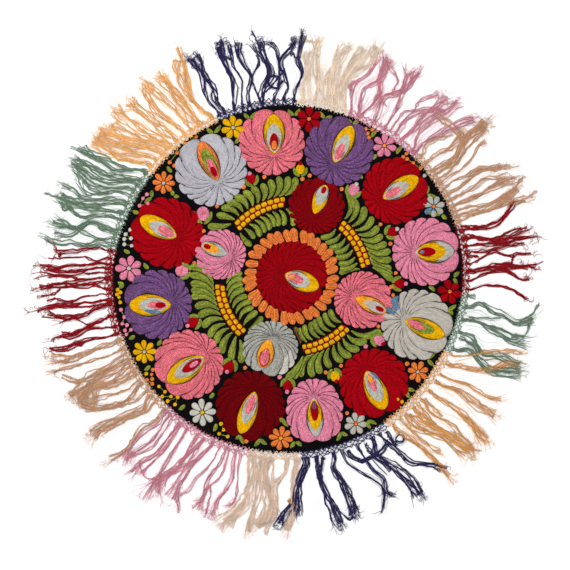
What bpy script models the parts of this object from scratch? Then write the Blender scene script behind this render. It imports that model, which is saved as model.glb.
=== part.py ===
"""A round embroidered tablecloth, lying flat: one disc of black cloth and fourteen lengths of knotted silk fringe.

The origin is the disc's centre on its underside, +Z is up and +Y is the photograph's top. Sizes are in metres
and angles are in degrees, from +X towards +Y.
"""
import math
from collections import namedtuple

import bmesh
import bpy

MM = 0.001
WELD = 0.00001

# The cloth.
CLOTH_THICKNESS = 0.0020
RIM_STATIONS = 180
# The rim's radius every 30 degrees: a hand-cut round, a little full on its left and slack at its lower right.
RIM_RADII = (0.2625, 0.2650, 0.2630, 0.2640, 0.2610, 0.2600, 0.2650, 0.2625, 0.2620, 0.2595, 0.2570, 0.2555)

# The fringe's net heading, and the gaps cut through it.
FRINGE_THICKNESS = 0.0016
PIECE_GAP = 0.0003
HEADING_DEPTH = 0.0110
NET_PITCH = 0.0110
GAP_WIDTH = 0.0062
GAP_DEPTH = 0.0056
GAP_MIDDLE = 0.0052

# The locks of loose silk.
LOCK_STATIONS = 6
MIDDLE_RADIUS = 0.315
LOCK_CLEARANCE = 0.0008
ROOT_SHARE = 0.75
TIP_SHARE = 0.25
WIDEST_AT = 0.62

CLOTH_COLOUR = (0.006, 0.005, 0.006)
CLOTH_ROUGHNESS = 0.95
SILK_ROUGHNESS = 0.55
SILK_COLOURS = {
    "navy": (0.026, 0.019, 0.091),
    "orange": (0.791, 0.352, 0.102),
    "sage": (0.091, 0.235, 0.127),
    "red": (0.223, 0.001, 0.007),
    "tan": (0.515, 0.266, 0.156),
    "pink": (0.610, 0.205, 0.262),
    "cream": (0.753, 0.610, 0.485),
}

# One lock of the fringe: its angle at its root, at MIDDLE_RADIUS and at its tip, then how far it reaches from
# the cloth's centre and how wide it is, both in millimetres.
Lock = namedtuple("Lock", "root middle tip reach width")

# One length of fringe: its name, its silk, the angle it starts at and its locks, in the order of their angles.
# It ends where the next length starts.
Length = namedtuple("Length", "name silk start locks")

FRINGE = (
    Length("fringe_red_east", "red", -4.0, (
        Lock(-2.6, -1.5, -3.6, 368, 5),
        Lock(0.6, 1.6, 0.8, 367, 5),
        Lock(2.6, 3.2, 2.8, 381, 6),
        Lock(4.3, 4.8, 4.4, 384, 4),
        Lock(6.4, 7.2, 6.6, 376, 5),
        Lock(8.7, 8.8, 8.6, 375, 5),
        Lock(11.0, 10.4, 10.1, 387, 7),
        Lock(13.5, 12.2, 12.3, 377, 8),
        Lock(16.3, 15.3, 17.2, 353, 7),
    )),
    Length("fringe_tan_northeast", "tan", 18.1, (
        Lock(19.3, 19.2, 19.1, 393, 6),
        Lock(21.4, 21.1, 21.8, 380, 6),
        Lock(24.2, 24.0, 23.8, 383, 8),
        Lock(26.4, 26.9, 25.7, 374, 6),
        Lock(28.5, 29.0, 27.5, 387, 5),
        Lock(30.5, 30.9, 29.8, 363, 4),
        Lock(32.6, 33.2, 34.8, 362, 4),
        Lock(34.7, 35.2, 36.8, 384, 6),
        Lock(37.0, 37.3, 38.7, 391, 9),
        Lock(40.5, 39.8, 40.9, 378, 7),
        Lock(42.9, 42.1, 43.4, 348, 6),
    )),
    Length("fringe_pink_northeast", "pink", 44.2, (
        Lock(45.6, 44.6, 45.2, 355, 7),
        Lock(47.6, 48.0, 46.7, 381, 6),
        Lock(50.4, 50.4, 49.2, 372, 8),
        Lock(53.6, 53.0, 51.8, 361, 7),
        Lock(57.7, 58.2, 58.5, 378, 6),
        Lock(61.9, 61.2, 60.4, 372, 9),
        Lock(65.8, 64.9, 65.6, 372, 8),
        Lock(67.6, 68.0, 67.4, 345, 5),
        Lock(69.6, 70.6, 68.7, 352, 4),
    )),
    Length("fringe_cream_north", "cream", 70.5, (
        Lock(72.2, 73.0, 70.2, 387, 10),
        Lock(74.7, 75.2, 72.8, 378, 9),
        Lock(77.0, 77.5, 75.5, 375, 10),
        Lock(79.4, 79.7, 78.6, 347, 6),
        Lock(82.2, 82.3, 82.9, 371, 9),
        Lock(85.2, 84.7, 85.0, 351, 6),
    )),
    Length("fringe_navy_north", "navy", 87.6, (
        Lock(88.7, 86.6, 86.8, 380, 6),
        Lock(91.2, 91.3, 89.3, 369, 5),
        Lock(94.3, 93.2, 93.2, 357, 4),
        Lock(98.0, 95.8, 97.3, 368, 9),
        Lock(101.9, 100.4, 102.3, 377, 6),
        Lock(104.6, 103.3, 104.5, 377, 4),
        Lock(107.1, 105.7, 107.0, 378, 7),
        Lock(110.6, 111.2, 111.8, 377, 8),
        Lock(113.0, 113.8, 113.8, 376, 5),
    )),
    Length("fringe_orange_northwest", "orange", 114.1, (
        Lock(115.7, 116.6, 115.2, 397, 5),
        Lock(117.8, 118.6, 117.2, 381, 6),
        Lock(120.6, 121.2, 122.2, 372, 9),
        Lock(123.4, 124.0, 125.8, 381, 6),
        Lock(126.2, 127.2, 128.5, 367, 7),
        Lock(129.2, 130.6, 131.8, 369, 8),
        Lock(131.6, 133.8, 135.4, 377, 7),
        Lock(133.9, 136.8, 138.6, 363, 8),
        Lock(136.2, 139.4, 141.8, 368, 8),
        Lock(138.6, 141.8, 144.3, 367, 6),
        Lock(140.2, 143.8, 146.0, 350, 5),
        Lock(141.8, 145.6, 147.7, 373, 5),
    )),
    Length("fringe_sage_northwest", "sage", 142.6, (
        Lock(143.9, 147.5, 149.1, 384, 6),
        Lock(145.9, 149.6, 150.4, 373, 7),
        Lock(148.0, 151.7, 151.9, 381, 7),
        Lock(150.0, 153.4, 153.6, 357, 6),
        Lock(152.2, 155.3, 155.4, 345, 6),
        Lock(154.3, 157.1, 157.5, 378, 6),
        Lock(156.2, 158.8, 159.1, 373, 7),
        Lock(158.4, 160.6, 160.6, 372, 8),
        Lock(160.8, 162.6, 162.3, 366, 6),
        Lock(164.0, 164.2, 165.7, 375, 6),
        Lock(166.6, 166.7, 167.3, 376, 5),
        Lock(168.8, 169.6, 169.6, 382, 6),
    )),
    Length("fringe_red_west", "red", 170.3, (
        Lock(171.4, 171.9, 172.6, 364, 6),
        Lock(173.2, 173.9, 174.7, 371, 4),
        Lock(175.2, 176.0, 176.6, 388, 7),
        Lock(177.4, 178.0, 178.2, 385, 4),
        Lock(179.4, 179.7, 179.8, 385, 4),
        Lock(182.0, 181.4, 181.8, 387, 7),
        Lock(184.3, 184.7, 185.0, 372, 4),
        Lock(186.3, 186.5, 187.0, 396, 8),
        Lock(188.6, 189.6, 189.3, 371, 8),
        Lock(191.4, 192.2, 192.4, 358, 6),
        Lock(194.2, 194.0, 194.2, 375, 5),
        Lock(197.0, 196.7, 195.7, 386, 8),
    )),
    Length("fringe_tan_west", "tan", 198.2, (
        Lock(199.7, 199.7, 198.0, 386, 9),
        Lock(202.4, 202.6, 201.2, 391, 5),
        Lock(204.6, 205.0, 203.6, 380, 6),
        Lock(206.4, 206.8, 206.1, 373, 7),
        Lock(208.0, 208.4, 208.0, 381, 7),
        Lock(209.6, 209.9, 210.0, 370, 7),
        Lock(211.6, 211.3, 211.8, 364, 6),
        Lock(213.6, 213.0, 213.4, 356, 5),
        Lock(216.6, 216.4, 215.0, 348, 7),
        Lock(221.3, 219.8, 217.9, 389, 12),
        Lock(224.9, 225.0, 224.6, 393, 6),
    )),
    Length("fringe_pink_southwest", "pink", 226.2, (
        Lock(227.6, 227.1, 226.7, 376, 6),
        Lock(229.2, 229.3, 228.5, 367, 5),
        Lock(230.8, 230.9, 229.9, 366, 4),
        Lock(232.5, 232.6, 231.3, 383, 6),
        Lock(234.0, 234.0, 232.9, 370, 4),
        Lock(236.0, 236.2, 235.8, 395, 8),
        Lock(239.5, 239.2, 238.6, 388, 9),
        Lock(242.0, 241.1, 240.7, 381, 7),
        Lock(244.6, 243.1, 242.6, 382, 7),
        Lock(247.2, 246.0, 244.6, 370, 4),
        Lock(249.4, 248.4, 248.4, 379, 8),
        Lock(251.2, 250.9, 250.6, 381, 5),
        Lock(253.2, 253.9, 252.3, 379, 6),
        Lock(255.4, 255.8, 254.0, 353, 4),
    )),
    Length("fringe_cream_south", "cream", 256.9, (
        Lock(258.4, 258.4, 255.8, 389, 13),
        Lock(261.5, 261.6, 260.6, 397, 9),
        Lock(264.6, 264.4, 263.5, 385, 14),
        Lock(269.0, 267.2, 266.4, 355, 7),
        Lock(272.3, 271.1, 269.9, 390, 10),
    )),
    Length("fringe_navy_south", "navy", 274.1, (
        Lock(276.4, 273.9, 272.6, 355, 8),
        Lock(280.0, 279.9, 281.6, 385, 9),
        Lock(284.4, 285.1, 285.6, 374, 10),
        Lock(287.8, 289.9, 292.4, 377, 4),
        Lock(290.4, 293.2, 295.0, 363, 5),
        Lock(294.6, 296.2, 298.0, 347, 5),
        Lock(298.2, 299.0, 301.0, 391, 11),
        Lock(302.3, 302.8, 304.8, 353, 6),
    )),
    Length("fringe_orange_southeast", "orange", 304.3, (
        Lock(306.2, 307.4, 309.0, 392, 8),
        Lock(309.2, 310.0, 311.4, 350, 6),
        Lock(311.9, 313.4, 315.5, 384, 10),
        Lock(315.0, 315.9, 317.4, 390, 10),
        Lock(318.5, 318.6, 319.3, 381, 6),
        Lock(321.9, 322.3, 321.0, 396, 8),
        Lock(326.2, 326.8, 327.1, 379, 9),
        Lock(328.9, 329.8, 330.9, 373, 5),
        Lock(332.6, 333.8, 336.3, 368, 7),
        Lock(335.0, 336.2, 338.4, 362, 5),
    )),
    Length("fringe_sage_east", "sage", 336.2, (
        Lock(337.6, 338.6, 340.3, 387, 9),
        Lock(342.2, 341.5, 342.9, 373, 8),
        Lock(347.3, 347.0, 346.5, 372, 10),
        Lock(352.6, 351.6, 351.6, 382, 8),
    )),
)


def rim_radius(angle):
    """The cloth's radius at an angle: a smooth closed curve through RIM_RADII."""
    count = len(RIM_RADII)
    place = angle % 360.0 / 360.0 * count
    first = int(place)
    t = place - first
    before, start, end, after = (RIM_RADII[(first + step) % count] for step in (-1, 0, 1, 2))
    return 0.5 * (
        2 * start
        + (end - before) * t
        + (2 * before - 5 * start + 4 * end - after) * t ** 2
        + (3 * start - before - 3 * end + after) * t ** 3
    )


def polar(angle, radius):
    """The point at an angle in degrees and a radius from the cloth's centre."""
    return (radius * math.cos(math.radians(angle)), radius * math.sin(math.radians(angle)))


def arc_angle(length, radius):
    """The angle in degrees that a length spans at a radius."""
    return math.degrees(length / radius)


def material(name, colour, roughness):
    """A Principled material of one colour."""
    made = bpy.data.materials.new(name)
    made.use_nodes = True
    shader = made.node_tree.nodes["Principled BSDF"]
    shader.inputs["Base Color"].default_value = (*colour, 1.0)
    shader.inputs["Roughness"].default_value = roughness
    shader.inputs["Metallic"].default_value = 0.0
    made.diffuse_color = (*colour, 1.0)
    return made


def flat_solid(name, outlines, thickness, surface, collection):
    """One flat solid standing on z = 0: the first outline is its edge and the others are holes through it."""
    curve = bpy.data.curves.new(name, "CURVE")
    curve.dimensions = "2D"
    curve.fill_mode = "BOTH"
    curve.extrude = thickness / 2
    for outline in outlines:
        spline = curve.splines.new("POLY")
        spline.points.add(len(outline) - 1)
        for point, (x, y) in zip(spline.points, outline):
            point.co = (x, y, 0.0, 1.0)
        spline.use_cyclic_u = True
    drawn = bpy.data.objects.new(name + "_outline", curve)
    drawn.location.z = thickness / 2
    collection.objects.link(drawn)
    bpy.context.view_layer.update()

    mesh = bpy.data.meshes.new_from_object(drawn.evaluated_get(bpy.context.evaluated_depsgraph_get()))
    mesh.name = name
    solid = bmesh.new()
    solid.from_mesh(mesh)
    bmesh.ops.remove_doubles(solid, verts=solid.verts, dist=WELD)
    bmesh.ops.recalc_face_normals(solid, faces=solid.faces)
    solid.to_mesh(mesh)
    solid.free()
    mesh.materials.clear()
    mesh.materials.append(surface)

    piece = bpy.data.objects.new(name, mesh)
    piece.matrix_world = drawn.matrix_world
    collection.objects.link(piece)
    bpy.data.objects.remove(drawn)
    return piece


def cloth(collection):
    """The black ground with its narrow hem, cut round by hand."""
    step = 360.0 / RIM_STATIONS
    rim = [polar(i * step, rim_radius(i * step)) for i in range(RIM_STATIONS)]
    surface = material("black_wool", CLOTH_COLOUR, CLOTH_ROUGHNESS)
    return flat_solid("cloth", [rim], CLOTH_THICKNESS, surface, collection)


def lock_root_radius(lock):
    """Where a lock leaves the net heading."""
    return rim_radius(lock.root) + HEADING_DEPTH


def lock_angle(lock, radius):
    """A lock's angle at a radius: a parabola through its root, its middle and its tip."""
    radii = (lock_root_radius(lock), MIDDLE_RADIUS, lock.reach * MM)
    angles = (lock.root, lock.middle, lock.tip)
    total = 0.0
    for i, angle in enumerate(angles):
        share = 1.0
        for j, other in enumerate(radii):
            if j != i:
                share *= (radius - other) / (radii[i] - other)
        total += angle * share
    return total


def lock_half_width(lock, along, radius, neighbours):
    """Half a lock's width at a share of its run, never more than its neighbours leave room for."""
    if along < WIDEST_AT:
        share = ROOT_SHARE + (1 - ROOT_SHARE) * along / WIDEST_AT
    else:
        share = 1 - (1 - TIP_SHARE) * ((along - WIDEST_AT) / (1 - WIDEST_AT)) ** 2
    half = lock.width * MM / 2 * share
    own = lock_angle(lock, radius)
    for neighbour, turn in neighbours:
        if radius < neighbour.reach * MM:
            spacing = abs(math.radians(lock_angle(neighbour, radius) + turn - own)) * radius
            half = min(half, (spacing - LOCK_CLEARANCE) / 2)
    return half


def lock_outline(lock, neighbours):
    """The points round one lock, up its far side and down its near side, in falling angle."""
    start = lock_root_radius(lock)
    far_side = []
    near_side = []
    for i in range(LOCK_STATIONS):
        along = i / (LOCK_STATIONS - 1)
        radius = start + (lock.reach * MM - start) * along
        middle = lock_angle(lock, radius)
        half = arc_angle(lock_half_width(lock, along, radius, neighbours), radius)
        far_side.append(polar(middle + half, radius))
        near_side.append(polar(middle - half, radius))
    return far_side + near_side[::-1]


def net_gap(angle):
    """One diamond gap between the knots of the net heading."""
    middle = rim_radius(angle) + GAP_MIDDLE
    side = arc_angle(GAP_WIDTH / 2, middle)
    return [
        polar(angle - side, middle),
        polar(angle, middle - GAP_DEPTH / 2),
        polar(angle + side, middle),
        polar(angle, middle + GAP_DEPTH / 2),
    ]


def fringe_outlines(length, end, neighbours_of):
    """The edge of one length of fringe, heading and locks together, and the gaps in its net."""
    trim = arc_angle(PIECE_GAP / 2, RIM_RADII[0])
    first = length.start + trim
    last = end - trim
    step = 360.0 / RIM_STATIONS
    stations = range(math.ceil(first / step), math.floor(last / step) + 1)
    inner = [first] + [i * step for i in stations if first < i * step < last] + [last]
    edge = [polar(angle, rim_radius(angle) + PIECE_GAP) for angle in inner]
    edge.append(polar(last, rim_radius(last) + HEADING_DEPTH))
    for lock in reversed(length.locks):
        edge += lock_outline(lock, neighbours_of[lock])
    edge.append(polar(first, rim_radius(first) + HEADING_DEPTH))

    count = round(math.radians(last - first) * RIM_RADII[0] / NET_PITCH)
    gaps = [net_gap(first + (last - first) * (i + 0.5) / count) for i in range(count)]
    return [edge] + gaps


def lock_neighbours():
    """Each lock's two neighbours round the whole cloth, with the turn that brings a neighbour beside it."""
    ring = [lock for length in FRINGE for lock in length.locks]
    beside = {}
    for i, lock in enumerate(ring):
        before = (ring[i - 1], -360.0 if i == 0 else 0.0)
        after = (ring[(i + 1) % len(ring)], 360.0 if i == len(ring) - 1 else 0.0)
        beside[lock] = (before, after)
    return beside


def fringe(collection):
    """The fourteen lengths of fringe, each its own piece beside the cloth's rim."""
    surfaces = {
        silk: material(silk + "_silk", colour, SILK_ROUGHNESS) for silk, colour in SILK_COLOURS.items()
    }
    neighbours_of = lock_neighbours()
    for i, length in enumerate(FRINGE):
        end = FRINGE[i + 1].start if i + 1 < len(FRINGE) else FRINGE[0].start + 360.0
        outlines = fringe_outlines(length, end, neighbours_of)
        flat_solid(length.name, outlines, FRINGE_THICKNESS, surfaces[length.silk], collection)


def main():
    for thing in list(bpy.data.objects):
        bpy.data.objects.remove(thing)
    collection = bpy.data.collections.new("embroidered_tablecloth")
    bpy.context.scene.collection.children.link(collection)
    cloth(collection)
    fringe(collection)


main()
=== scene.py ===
"""Looks of the round embroidered tablecloth: black wool, raised silk embroidery and a knotted silk fringe.

Lengths are in millimetres and angles in degrees, from +X towards +Y, the photograph's top, unless a comment
says otherwise. Every piece is built in metres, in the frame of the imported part.
"""

import math
import random
from collections import namedtuple

import bpy
import numpy as np
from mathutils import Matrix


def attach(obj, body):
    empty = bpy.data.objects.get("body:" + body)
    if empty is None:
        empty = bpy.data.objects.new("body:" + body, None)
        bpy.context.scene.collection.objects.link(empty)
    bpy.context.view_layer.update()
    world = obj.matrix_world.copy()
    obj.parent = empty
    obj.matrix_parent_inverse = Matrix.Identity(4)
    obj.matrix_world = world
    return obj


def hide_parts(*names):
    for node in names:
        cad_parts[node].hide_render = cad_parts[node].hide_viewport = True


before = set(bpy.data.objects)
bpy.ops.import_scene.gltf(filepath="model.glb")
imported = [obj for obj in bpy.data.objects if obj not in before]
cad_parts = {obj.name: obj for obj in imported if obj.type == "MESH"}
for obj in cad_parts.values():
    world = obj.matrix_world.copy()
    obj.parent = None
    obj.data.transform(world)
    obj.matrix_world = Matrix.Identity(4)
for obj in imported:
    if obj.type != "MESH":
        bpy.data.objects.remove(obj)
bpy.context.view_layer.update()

MM = 0.001
BODY = "root"

# The radii of the cloth's rim, from +X on at equal angles, as in the part's source.
RIM_RADII = (262.5, 265.0, 263.0, 264.0, 261.0, 260.0, 265.0, 262.5, 262.0, 259.5, 257.0, 255.5)

# Each silk of the embroidery: its colour, as a camera sees it under soft light (red, green and blue, of 255),
# and the record's slot for it.
SILKS = {
    "crimson": ((148, 0, 12), "red_silk"),
    "garnet": ((136, 0, 9), "red_silk"),
    "claret": ((118, 0, 7), "red_silk"),
    "wine": ((94, 0, 5), "red_silk"),
    "coral": ((206, 100, 112), "pink_silk"),
    "pink": ((206, 118, 143), "pink_silk"),
    "purple": ((99, 64, 109), "navy_silk"),
    "blue_grey": ((170, 168, 174), "cream_silk"),
    "silver": ((176, 169, 159), "cream_silk"),
    "ash": ((150, 150, 142), "cream_silk"),
    "pale_grey": ((167, 166, 157), "cream_silk"),
    "leaf": ((116, 127, 41), "sage_silk"),
    "umber": ((104, 76, 34), "sage_silk"),
    "yellow": ((211, 158, 4), "orange_silk"),
    "orange": ((212, 112, 46), "orange_silk"),
    "golden": ((226, 146, 26), "orange_silk"),
    "blue": ((86, 115, 138), "navy_silk"),
    "rust": ((150, 15, 10), "red_silk"),
    "ivory": ((188, 184, 174), "cream_silk"),
    "outline": ((30, 22, 26), "red_silk"),
    "deep_wine": ((88, 0, 6), "red_silk"),
    "deep_rose": ((78, 30, 38), "pink_silk"),
    "deep_purple": ((44, 24, 56), "navy_silk"),
    "deep_grey": ((44, 40, 42), "cream_silk"),
    "deep_orange": ((146, 62, 20), "orange_silk"),
}

# The dark red silks, and the thread between the petals of a rose in each silk.
DARK_SILKS = ("crimson", "garnet", "claret", "wine")
PETAL_LINES = {
    **dict.fromkeys(DARK_SILKS, "deep_wine"), **dict.fromkeys(("coral", "pink"), "deep_rose"),
    "purple": "deep_purple", **dict.fromkeys(("silver", "ash", "blue_grey"), "deep_grey")}

# A floss of the fringe: its colour and slot; full, how many times the width in the table its strands have;
# thread, half a thread's thickness; threads, how many lie in a ply; crinkle, how far they wander; spread, how
# far their ends part, of the strand's width; veils, the loose hairs between two strands; wisps, the curled
# hairs at a strand's end for each millimetre of its width; gather and tip, how open the strand is below its
# root and at its end; ragged, how unequal its threads are.
Floss = namedtuple("Floss", "colour slot full thread threads crinkle spread veils wisps gather tip ragged")

FRINGE_SILKS = {
    "navy": Floss((44, 37, 84), "navy_silk", 1.45, 0.44, 6, 0.5, 0.2, 2, 2.0, 0.35, 1.25, 0.03),
    "orange": Floss((246, 189, 118), "orange_silk", 2.15, 0.29, 5, 0.8, 0.4, 14, 0.7, 0.42, 1.3, 0.03),
    "amber": Floss((230, 170, 100), "orange_silk", 1.5, 0.30, 5, 0.75, 0.4, 7, 1.0, 0.5, 1.3, 0.03),
    "sage": Floss((112, 138, 114), "sage_silk", 1.5, 0.32, 5, 0.65, 0.35, 8, 0.7, 0.38, 1.3, 0.03),
    "red": Floss((144, 2, 20), "red_silk", 1.05, 0.48, 7, 0.75, 0.2, 1, 0.9, 0.35, 0.75, 0.055),
    "tan": Floss((208, 160, 124), "tan_silk", 1.4, 0.29, 5, 0.8, 0.3, 4, 1.6, 0.38, 1.3, 0.03),
    "pink": Floss((216, 142, 158), "pink_silk", 1.1, 0.28, 5, 0.6, 0.55, 12, 0.8, 0.35, 1.3, 0.03),
    "rose": Floss((216, 138, 156), "pink_silk", 1.15, 0.28, 5, 0.6, 0.65, 2, 1.4, 0.45, 1.4, 0.02),
    "cream": Floss((247, 226, 204), "cream_silk", 1.25, 0.25, 8, 0.6, 0.4, 56, 0.9, 0.5, 1.4, 0.02),
    "oatmeal": Floss((236, 208, 186), "cream_silk", 1.15, 0.31, 9, 0.9, 0.3, 5, 1.3, 1.1, 1.3, 0.035),
}

OUTER_PETALS = 8
INNER_PETALS = 10
CENTRE_PETALS = 12

# One rose: its silk, its outline's centre and radii (along its eye and across it), the point where its petals
# meet, its eye's direction, how many petals each side has, and its eye from the lowest layer up. Each layer
# is a lens: its silk, where it starts and ends along the eye's axis, and its width. The axis starts at the
# point eye, or where the petals meet if there is none.
Rose = namedtuple("Rose", "silk centre radii root direction petals lenses eye", defaults=(None,))

ROSES = (
    Rose("coral", (-25, 207), (50, 50), (-21, 190), 91, OUTER_PETALS, (
        ("yellow", 0, 59, 33), ("pale_grey", 2.0, 45, 27.5), ("crimson", 3.2, 31, 17),
        ("orange", 4.6, 20, 10))),
    Rose("purple", (76, 194), (52, 52), (69, 177), 64.5, OUTER_PETALS, (
        ("yellow", 0, 60, 29), ("pale_grey", 2.0, 46, 24), ("coral", 3.2, 31, 15.5))),
    Rose("crimson", (160, 134), (50, 50), (142, 123), 31, OUTER_PETALS, (
        ("yellow", 0, 61, 30), ("pale_grey", 2.0, 44, 25), ("coral", 3.2, 31, 15.5))),
    Rose("pink", (206, 43), (51, 51), (190, 42), 2, OUTER_PETALS, (
        ("pale_grey", 0, 58, 34), ("yellow", 2.0, 46, 32.5), ("crimson", 3.2, 31, 18),
        ("blue", 5, 15, 6.5))),
    Rose("silver", (192, -66), (53, 53), (175, -60), -21.6, OUTER_PETALS, (
        ("yellow", 0, 63, 28), ("leaf", 2.0, 47, 21.5), ("coral", 3.2, 31, 14.5))),
    Rose("crimson", (128, -154), (52, 52), (117, -136), -64.7, OUTER_PETALS, (
        ("yellow", 0, 63, 33), ("pale_grey", 2.0, 50, 27.5), ("coral", 3.2, 34, 13), ("golden", 6, 20, 8))),
    Rose("pink", (39, -197), (51, 43), (38, -176), -86.6, OUTER_PETALS, (
        ("pale_grey", 0, 58, 25), ("yellow", 2.0, 48, 24), ("crimson", 3.2, 35, 15.5),
        ("purple", 4, 19, 7))),
    Rose("wine", (-57, -187), (52, 52), (-50, -167), -109, OUTER_PETALS, (
        ("yellow", 0, 66, 28), ("pale_grey", 2.0, 50, 23), ("coral", 3.2, 36, 14.5))),
    Rose("coral", (-149, -126), (52, 52), (-125, -110), -147, OUTER_PETALS, (
        ("yellow", -5, 61, 34), ("pale_grey", -3, 48, 27.5), ("crimson", -1, 35, 18),
        ("pink", 4.6, 22, 9)), (-130, -118)),
    Rose("purple", (-196, -36), (52, 52), (-175, -30), 180, OUTER_PETALS, (
        ("yellow", -2, 60, 34), ("pale_grey", 2.0, 46, 27.5), ("coral", 3.2, 34, 14.5),
        ("crimson", 4.6, 22, 11)), (-178, -37)),
    Rose("crimson", (-182, 71), (56, 52), (-168, 65), 152, OUTER_PETALS, (
        ("yellow", 0, 61, 31), ("pale_grey", 2.0, 45, 25), ("coral", 3.2, 31, 17))),
    Rose("blue_grey", (-116, 165), (54, 54), (-106, 150), 114, OUTER_PETALS, (
        ("orange", 0, 63, 29), ("leaf", 2.0, 52, 24), ("coral", 3.2, 36, 15.5), ("crimson", 4.6, 23, 11))),
    Rose("claret", (42, 111), (43, 43), (38, 98), 68.4, INNER_PETALS, (
        ("yellow", 0, 46, 23), ("pale_grey", 13, 44, 20.5), ("crimson", 31, 44, 9.5)), (39, 100)),
    Rose("coral", (111, -29), (44, 44), (98, -25), -25, INNER_PETALS, (
        ("golden", 0, 50, 23), ("silver", 13, 48, 19), ("crimson", 31, 47, 9.5)), (101, -26)),
    Rose("ash", (-27, -102), (43, 43), (-22, -88), -103.4, INNER_PETALS, (
        ("golden", 0, 43, 26), ("crimson", 12.5, 42, 20), ("coral", 13.5, 40, 17)), (-29, -89)),
    Rose("pink", (-101, 39), (39, 39), (-88, 34), 158.5, INNER_PETALS, (
        ("pale_grey", 0, 41, 21), ("golden", 12, 39, 17), ("crimson", 25, 38, 9.5)), (-92, 39)),
    Rose("garnet", (4.5, 5.5), (55, 55), (-4, 7), -21.4, CENTRE_PETALS, (
        ("yellow", 0, 54, 31), ("pale_grey", 2.0, 40, 26.5), ("coral", 3.2, 30, 18),
        ("golden", 6, 15, 8)), (-5, 9)),
)

# Petals whose outer part is worked in another silk: the rose's centre, the side of its eye, the petals'
# places from the eye on, their silk and where along the petal it starts.
ODD_PETALS = (((192, -66), 1, (6, 7), "blue", 0.55), ((-27, -102), 1, (1, 2), "ivory", 0.6))

# Blue stripes on two grey parts of an eye: start, end, bend and width.
STRIPES = (((-219, -43.5), (-190, -47.0), -0.05, 7.5), ((120.5, -137.6), (135.5, -150.5), 0.1, 5.5))

# One garland between two outer roses: its band of seeds as an arc (angles and radii at both ends, seeds
# in a row), then the tips of its leaves outside the band and inside it.
Garland = namedtuple("Garland", "start start_radius end end_radius seeds outer inner")

GARLANDS = (
    Garland(92.4, 118, 134.6, 111, 9, (
        (10, 155), (-2, 156), (-16, 156), (-29, 151), (-41, 145), (-56, 140), (-68, 133), (-81, 125),
        (-93, 117), (-101, 108), (-108, 98), (-121, 82)), (
        (-55, 52), (-51, 62), (-43, 65), (-36, 71), (-29, 75), (-22, 80), (-16, 81), (-8, 82), (6, 81))),
    Garland(47.5, 115, 9.6, 118, 8, (
        (89, 131), (98, 122), (113, 111), (126, 96), (135, 82), (141, 69), (147, 57), (153, 46), (155, 33),
        (155, 19), (156, 9), (156, -1)), (
        (48, 65), (55, 58), (61, 50), (69, 44), (71, 36), (75, 26), (77, 18), (76, 10))),
    Garland(-38.6, 111, -78.3, 106, 8, (
        (138, -74), (118, -90), (107, -103), (95, -114), (82, -122), (64, -131), (49, -140), (37, -145),
        (20, -145), (8, -148), (-4, -148)), (
        (9, -70), (17, -71), (25, -66), (35, -62), (40, -58), (46, -53), (55, -48), (63, -43))),
    Garland(183.2, 103, 229.9, 105, 9, (
        (-148, 20), (-148, 7), (-147, -6), (-146, -16), (-146, -26), (-140, -41), (-135, -55), (-128, -71),
        (-118, -86), (-108, -95), (-99, -110), (-86, -120), (-72, -124)), (
        (-69, 10), (-68, 2), (-68, -6), (-65, -14), (-61, -24), (-55, -32), (-52, -41), (-46, -47),
        (-39, -54))),
)
BROWN_LEAVES = ((9, -70),)

# One small flower near the rim: its centre, radius, petals, their silk and its middle's silk.
Flower = namedtuple("Flower", "centre radius petals silk middle")

FLOWERS = (
    Flower((-187, 146), 17, 8, "orange", "silver"),
    Flower((-83, 229), 18, 7, "yellow", "silver"),
    Flower((31, 242), 19, 6, "crimson", "orange"),
    Flower((144, 202), 18, 7, "pink", "golden"),
    Flower((218, 111), 16.5, 7, "pale_grey", "orange"),
    Flower((242, -17), 18, 6, "crimson", "orange"),
    Flower((194, -137), 16, 7, "orange", "silver"),
    Flower((101, -215), 17, 7, "silver", "orange"),
    Flower((-11.5, -236.5), 18, 8, "orange", "golden"),
    Flower((-129, -198), 20, 8, "ivory", "yellow"),
    Flower((-216, -107), 18, 8, "yellow", "pale_grey"),
    Flower((-239, 18), 20, 7, "pink", "silver"),
)

# Blue parts of one flower's petals: the flower's centre, the petal, and how much of it is blue from its
# root on.
BLUE_PETALS = (((218, 111), 5, 1.0), ((218, 111), 6, 0.62))

# One bud: its centre, its silk, the silk and place of the spot at its tip, and its width.
Bud = namedtuple("Bud", "centre silk spot place width")

BUDS = (
    Bud((-56, 153), "crimson", "pink", (-58, 160), 15),
    Bud((18, 167), "yellow", "crimson", (18, 175), 14),
    Bud((98, 136), "pink", "silver", (102, 144), 17),
    Bud((156, 73), "crimson", "silver", (163, 77), 15),
    Bud((167, -5), "crimson", "pink", (176, -5), 15),
    Bud((136, -90), "pink", "crimson", (142, -95), 16),
    Bud((70, -144), "yellow", "crimson", (72, -151), 15),
    Bud((-1, -158), "crimson", "pink", (-2, -167), 15),
    Bud((-89, -130), "crimson", "pink", (-92, -137), 17),
    Bud((-143, -63), "crimson", "pink", (-151, -68), 16),
    Bud((-160, 14), "pink", "coral", (-161, 14), 18),
    Bud((-128, 100), "pink", "coral", (-128, 101), 20),
)

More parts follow.
